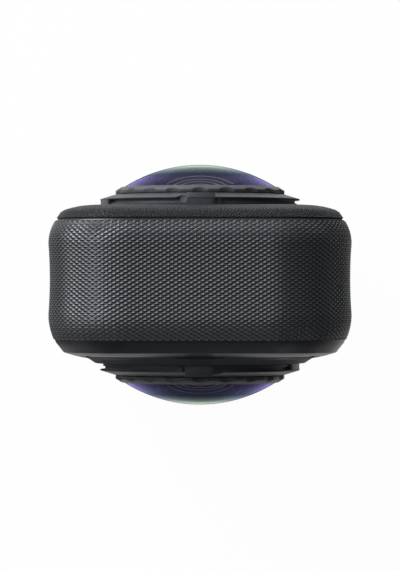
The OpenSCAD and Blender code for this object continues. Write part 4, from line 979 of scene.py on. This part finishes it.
class POCKETCAM_OT_stage(bpy.types.Operator):
    """Adds the floor, the lights, the room and the camera"""

    bl_idname = "pocketcam.stage"
    bl_label = "Stage"
    bl_options = {"REGISTER", "UNDO"}
    aim = Vector((0, 0, 90 * MM))

    def execute(self, context):
        self.floor()
        stage = settings().stage
        # Each lamp has a place, a width and height, and a power
        self.lamp("key_light", (-0.52, 0.46, 0.46), (0.8, 1.2), stage.key, 32, soft=True)
        self.lamp("back_light", (0.0, 0.85, 0.19), (1.2, 0.36), stage.back)
        self.lamp("corner_light", (-0.5, 0.72, 0.18), (0.5, 0.34), stage.corner)
        self.lamp("rim_light", (-0.12, 0.31, 0.035), (0.16, 0.05), stage.rim)
        self.lamp("front_light", (0.2, -0.9, 0.22), (0.4, 0.4), stage.front)
        self.room(stage.sky)
        bpy.ops.object.camera_add(location=stage.eye, rotation=(0, 0, 0))
        camera = context.view_layer.objects.active
        camera.data.lens = stage.lens
        camera.data.sensor_width = 36
        camera.data.clip_start = 0.01
        context.scene.camera = camera
        context.scene.view_settings.view_transform = "Standard"
        return {"FINISHED"}

    def floor(self):
        """A sheet of white paper under the foot."""
        floor = new_piece(bpy.ops.mesh.primitive_grid_add, "studio_floor",
                          x_subdivisions=4, y_subdivisions=4, size=20)
        bpy.ops.transform.translate(value=(0, 0, -0.02 * MM))
        done()
        floor.data.materials.append(new_finish("White studio paper", self.paper))

    def paper(self, tree, place):
        """Paper that takes the shadow: white to the camera and through glass, and a painted reflection graded
        to gloss.
        """
        speck_size, white_share = 3 * MM, 0.97
        speck = add_node(tree, "ShaderNodeTexNoise", {
            "Vector": place, "Scale": 1 / speck_size, "Detail": 2.0})
        tone = add_node(tree, "ShaderNodeMix", {
            0: speck.outputs["Fac"], 6: shade(linear("#f6f6f6")), 7: shade(linear("#fafafa"))},
            data_type="RGBA")
        matt = add_node(tree, "ShaderNodeBsdfDiffuse", {"Color": tone.outputs[2]})
        rays = add_node(tree, "ShaderNodeLightPath")
        level = add_node(tree, "ShaderNodeMix", {
            0: rays.outputs["Is Glossy Ray"], 2: 1.0, 3: self.mirrored(tree, place)}, data_type="FLOAT")
        glow = add_node(tree, "ShaderNodeEmission", {"Color": (1, 1, 1, 1), "Strength": level.outputs[0]})
        share = 0.0
        for kind in ("Is Camera Ray", "Is Glossy Ray", "Is Transmission Ray"):
            added = add_node(tree, "ShaderNodeMath", {
                0: rays.outputs[kind], 1: white_share, 2: share}, operation="MULTIPLY_ADD", use_clamp=True)
            share = added.outputs["Value"]
        return add_node(tree, "ShaderNodeMixShader", {0: share, 1: matt.outputs[0], 2: glow.outputs[0]})

    def mirrored(self, tree, place):
        """A painted reflection: how bright gloss sees the floor, set by place and not by the lamps: grey in
        front, a painted shadow dark by the foot, dark far right and at both sides.
        """
        forward = add_node(tree, "ShaderNodeVectorMath", {
            0: place, 1: (0.15, -1, 0)}, operation="DOT_PRODUCT")
        oval = add_node(tree, "ShaderNodeVectorMath", {0: place, 1: (0.8, 1, 1)}, operation="MULTIPLY")
        reach = add_node(tree, "ShaderNodeVectorMath", {0: oval.outputs["Vector"]}, operation="LENGTH")
        right = add_node(tree, "ShaderNodeSeparateXYZ", {"Vector": place})
        bearing = add_node(tree, "ShaderNodeVectorMath", {0: place}, operation="NORMALIZE")
        turned = add_node(tree, "ShaderNodeVectorMath", {
            0: bearing.outputs["Vector"], 1: (0.954, 0.3, 0)}, operation="DOT_PRODUCT")
        wedge = add_node(tree, "ShaderNodeMath", {0: turned.outputs["Value"]}, operation="ABSOLUTE")
        level = 1.0
        # What each grading goes by, where it starts and ends, and the brightness there
        # The oval by the foot is a painted shadow of the body, and the far right and the wedges are painted
        # dark reflections
        for value, start, end, first, last in (
                (forward.outputs["Value"], 30 * MM, 100 * MM, 0.9, 0.48),
                (reach.outputs["Value"], 30 * MM, 46 * MM, 0.04, 1.0),
                (right.outputs["X"], 200 * MM, 360 * MM, 1.0, 0.3),
                (wedge.outputs["Value"], 0.9, 0.985, 1.0, 0.1)):
            graded = add_node(tree, "ShaderNodeMapRange", {
                "Value": value, "From Min": start, "From Max": end, "To Min": first, "To Max": last})
            level = add_node(tree, "ShaderNodeMath", {
                0: level, 1: graded.outputs["Result"]}, operation="MULTIPLY").outputs["Value"]
        return level

    def lamp(self, name, place, size, power, roll=0, soft=False):
        """A soft box of a width and a height, facing the lens end and rolled in its own plane."""
        bpy.ops.object.light_add(type="AREA", location=place)
        lamp = bpy.context.view_layer.objects.active
        lamp.name = name
        facing = (Vector(place) - self.aim).to_track_quat("Z", "Y")
        lamp.rotation_euler = (facing @ Quaternion((0, 0, 1), math.radians(roll))).to_euler()
        lamp.data.shape = "RECTANGLE"
        lamp.data.size, lamp.data.size_y = size
        lamp.data.energy = power
        lamp.data.color = DAYLIGHT
        lamp.visible_camera = False
        if soft:
            self.fade(lamp.data)

    def fade(self, light):
        """Lets a soft box fall off towards its edges, as the cloth over a flash does."""
        light.use_nodes = True
        tree = light.node_tree
        tree.nodes.clear()
        spot = add_node(tree, "ShaderNodeNewGeometry").outputs["Parametric"]
        offset = add_node(tree, "ShaderNodeVectorMath", {0: spot, 1: (0.5, 0.5, 0.0)}, operation="DISTANCE")
        level = add_node(tree, "ShaderNodeMapRange", {
            "Value": offset.outputs["Value"], "From Min": 0.15, "From Max": 0.5,
            "To Min": 1.0, "To Max": 0.0},
            interpolation_type="SMOOTHSTEP")
        glow = add_node(tree, "ShaderNodeEmission", {"Strength": level.outputs["Result"]})
        add_node(tree, "ShaderNodeOutputLight", {"Surface": glow.outputs[0]})

    def room(self, strength):
        """A room that is brightest at the back left, and white to the camera."""
        world = bpy.data.worlds.new("Studio room")
        bpy.context.scene.world = world
        world.use_nodes = True
        tree = world.node_tree
        tree.nodes.clear()
        way = add_node(tree, "ShaderNodeTexCoord").outputs["Generated"]
        bright = add_node(tree, "ShaderNodeVectorMath", {
            0: way, 1: (-0.45, 0.82, 0.2)}, operation="DOT_PRODUCT")
        level = add_node(tree, "ShaderNodeMapRange", {
            "Value": bright.outputs["Value"], "From Min": -0.3, "From Max": 0.8,
            "To Min": 0.25 * strength, "To Max": 2.0 * strength})
        seen = add_node(tree, "ShaderNodeLightPath").outputs["Is Camera Ray"]
        level = add_node(tree, "ShaderNodeMath", {0: level.outputs["Result"], 1: seen}, operation="MAXIMUM")
        tone = add_node(tree, "ShaderNodeMix", {
            0: seen, 6: shade(DAYLIGHT), 7: (1, 1, 1, 1)}, data_type="RGBA")
        back = add_node(tree, "ShaderNodeBackground", {
            "Color": tone.outputs[2], "Strength": level.outputs["Value"]})
        add_node(tree, "ShaderNodeOutputWorld", {"Surface": back.outputs[0]})


PIECES = (POCKETCAM_OT_grip, POCKETCAM_OT_shell, POCKETCAM_OT_lens_mounts, POCKETCAM_OT_lens_glass,
          POCKETCAM_OT_controls, POCKETCAM_OT_tripod_mount, POCKETCAM_OT_plain_parts, POCKETCAM_OT_stage)


class POCKETCAM_PT_panel(bpy.types.Panel):
    """Lists the pieces of the camera and their settings"""

    bl_idname = "POCKETCAM_PT_panel"
    bl_label = "Pocket 360 camera"
    bl_space_type = "VIEW_3D"
    bl_region_type = "UI"
    bl_category = "Camera"

    def draw(self, context):
        model = context.scene.pocket_camera
        for group in (model.grip, model.edges, model.colours, model.stage):
            box = self.layout.box()
            for name in group.__annotations__:
                box.prop(group, name)
        for piece in PIECES:
            self.layout.operator(piece.bl_idname)


CLASSES = (GripSettings, EdgeSettings, ColourSettings, StageSettings, CameraSettings,
           *PIECES, POCKETCAM_PT_panel)


def register():
    for item in CLASSES:
        bpy.utils.register_class(item)
    bpy.types.Scene.pocket_camera = PointerProperty(type=CameraSettings)


def unregister():
    del bpy.types.Scene.pocket_camera
    for item in reversed(CLASSES):
        bpy.utils.unregister_class(item)


def main():
    register()
    bpy.ops.pocketcam.grip()
    bpy.ops.pocketcam.shell()
    bpy.ops.pocketcam.lens_mounts()
    bpy.ops.pocketcam.lens_glass()
    bpy.ops.pocketcam.controls()
    bpy.ops.pocketcam.tripod_mount()
    bpy.ops.pocketcam.plain_parts()
    bpy.ops.pocketcam.stage()


if __name__ == "__main__":
    main()
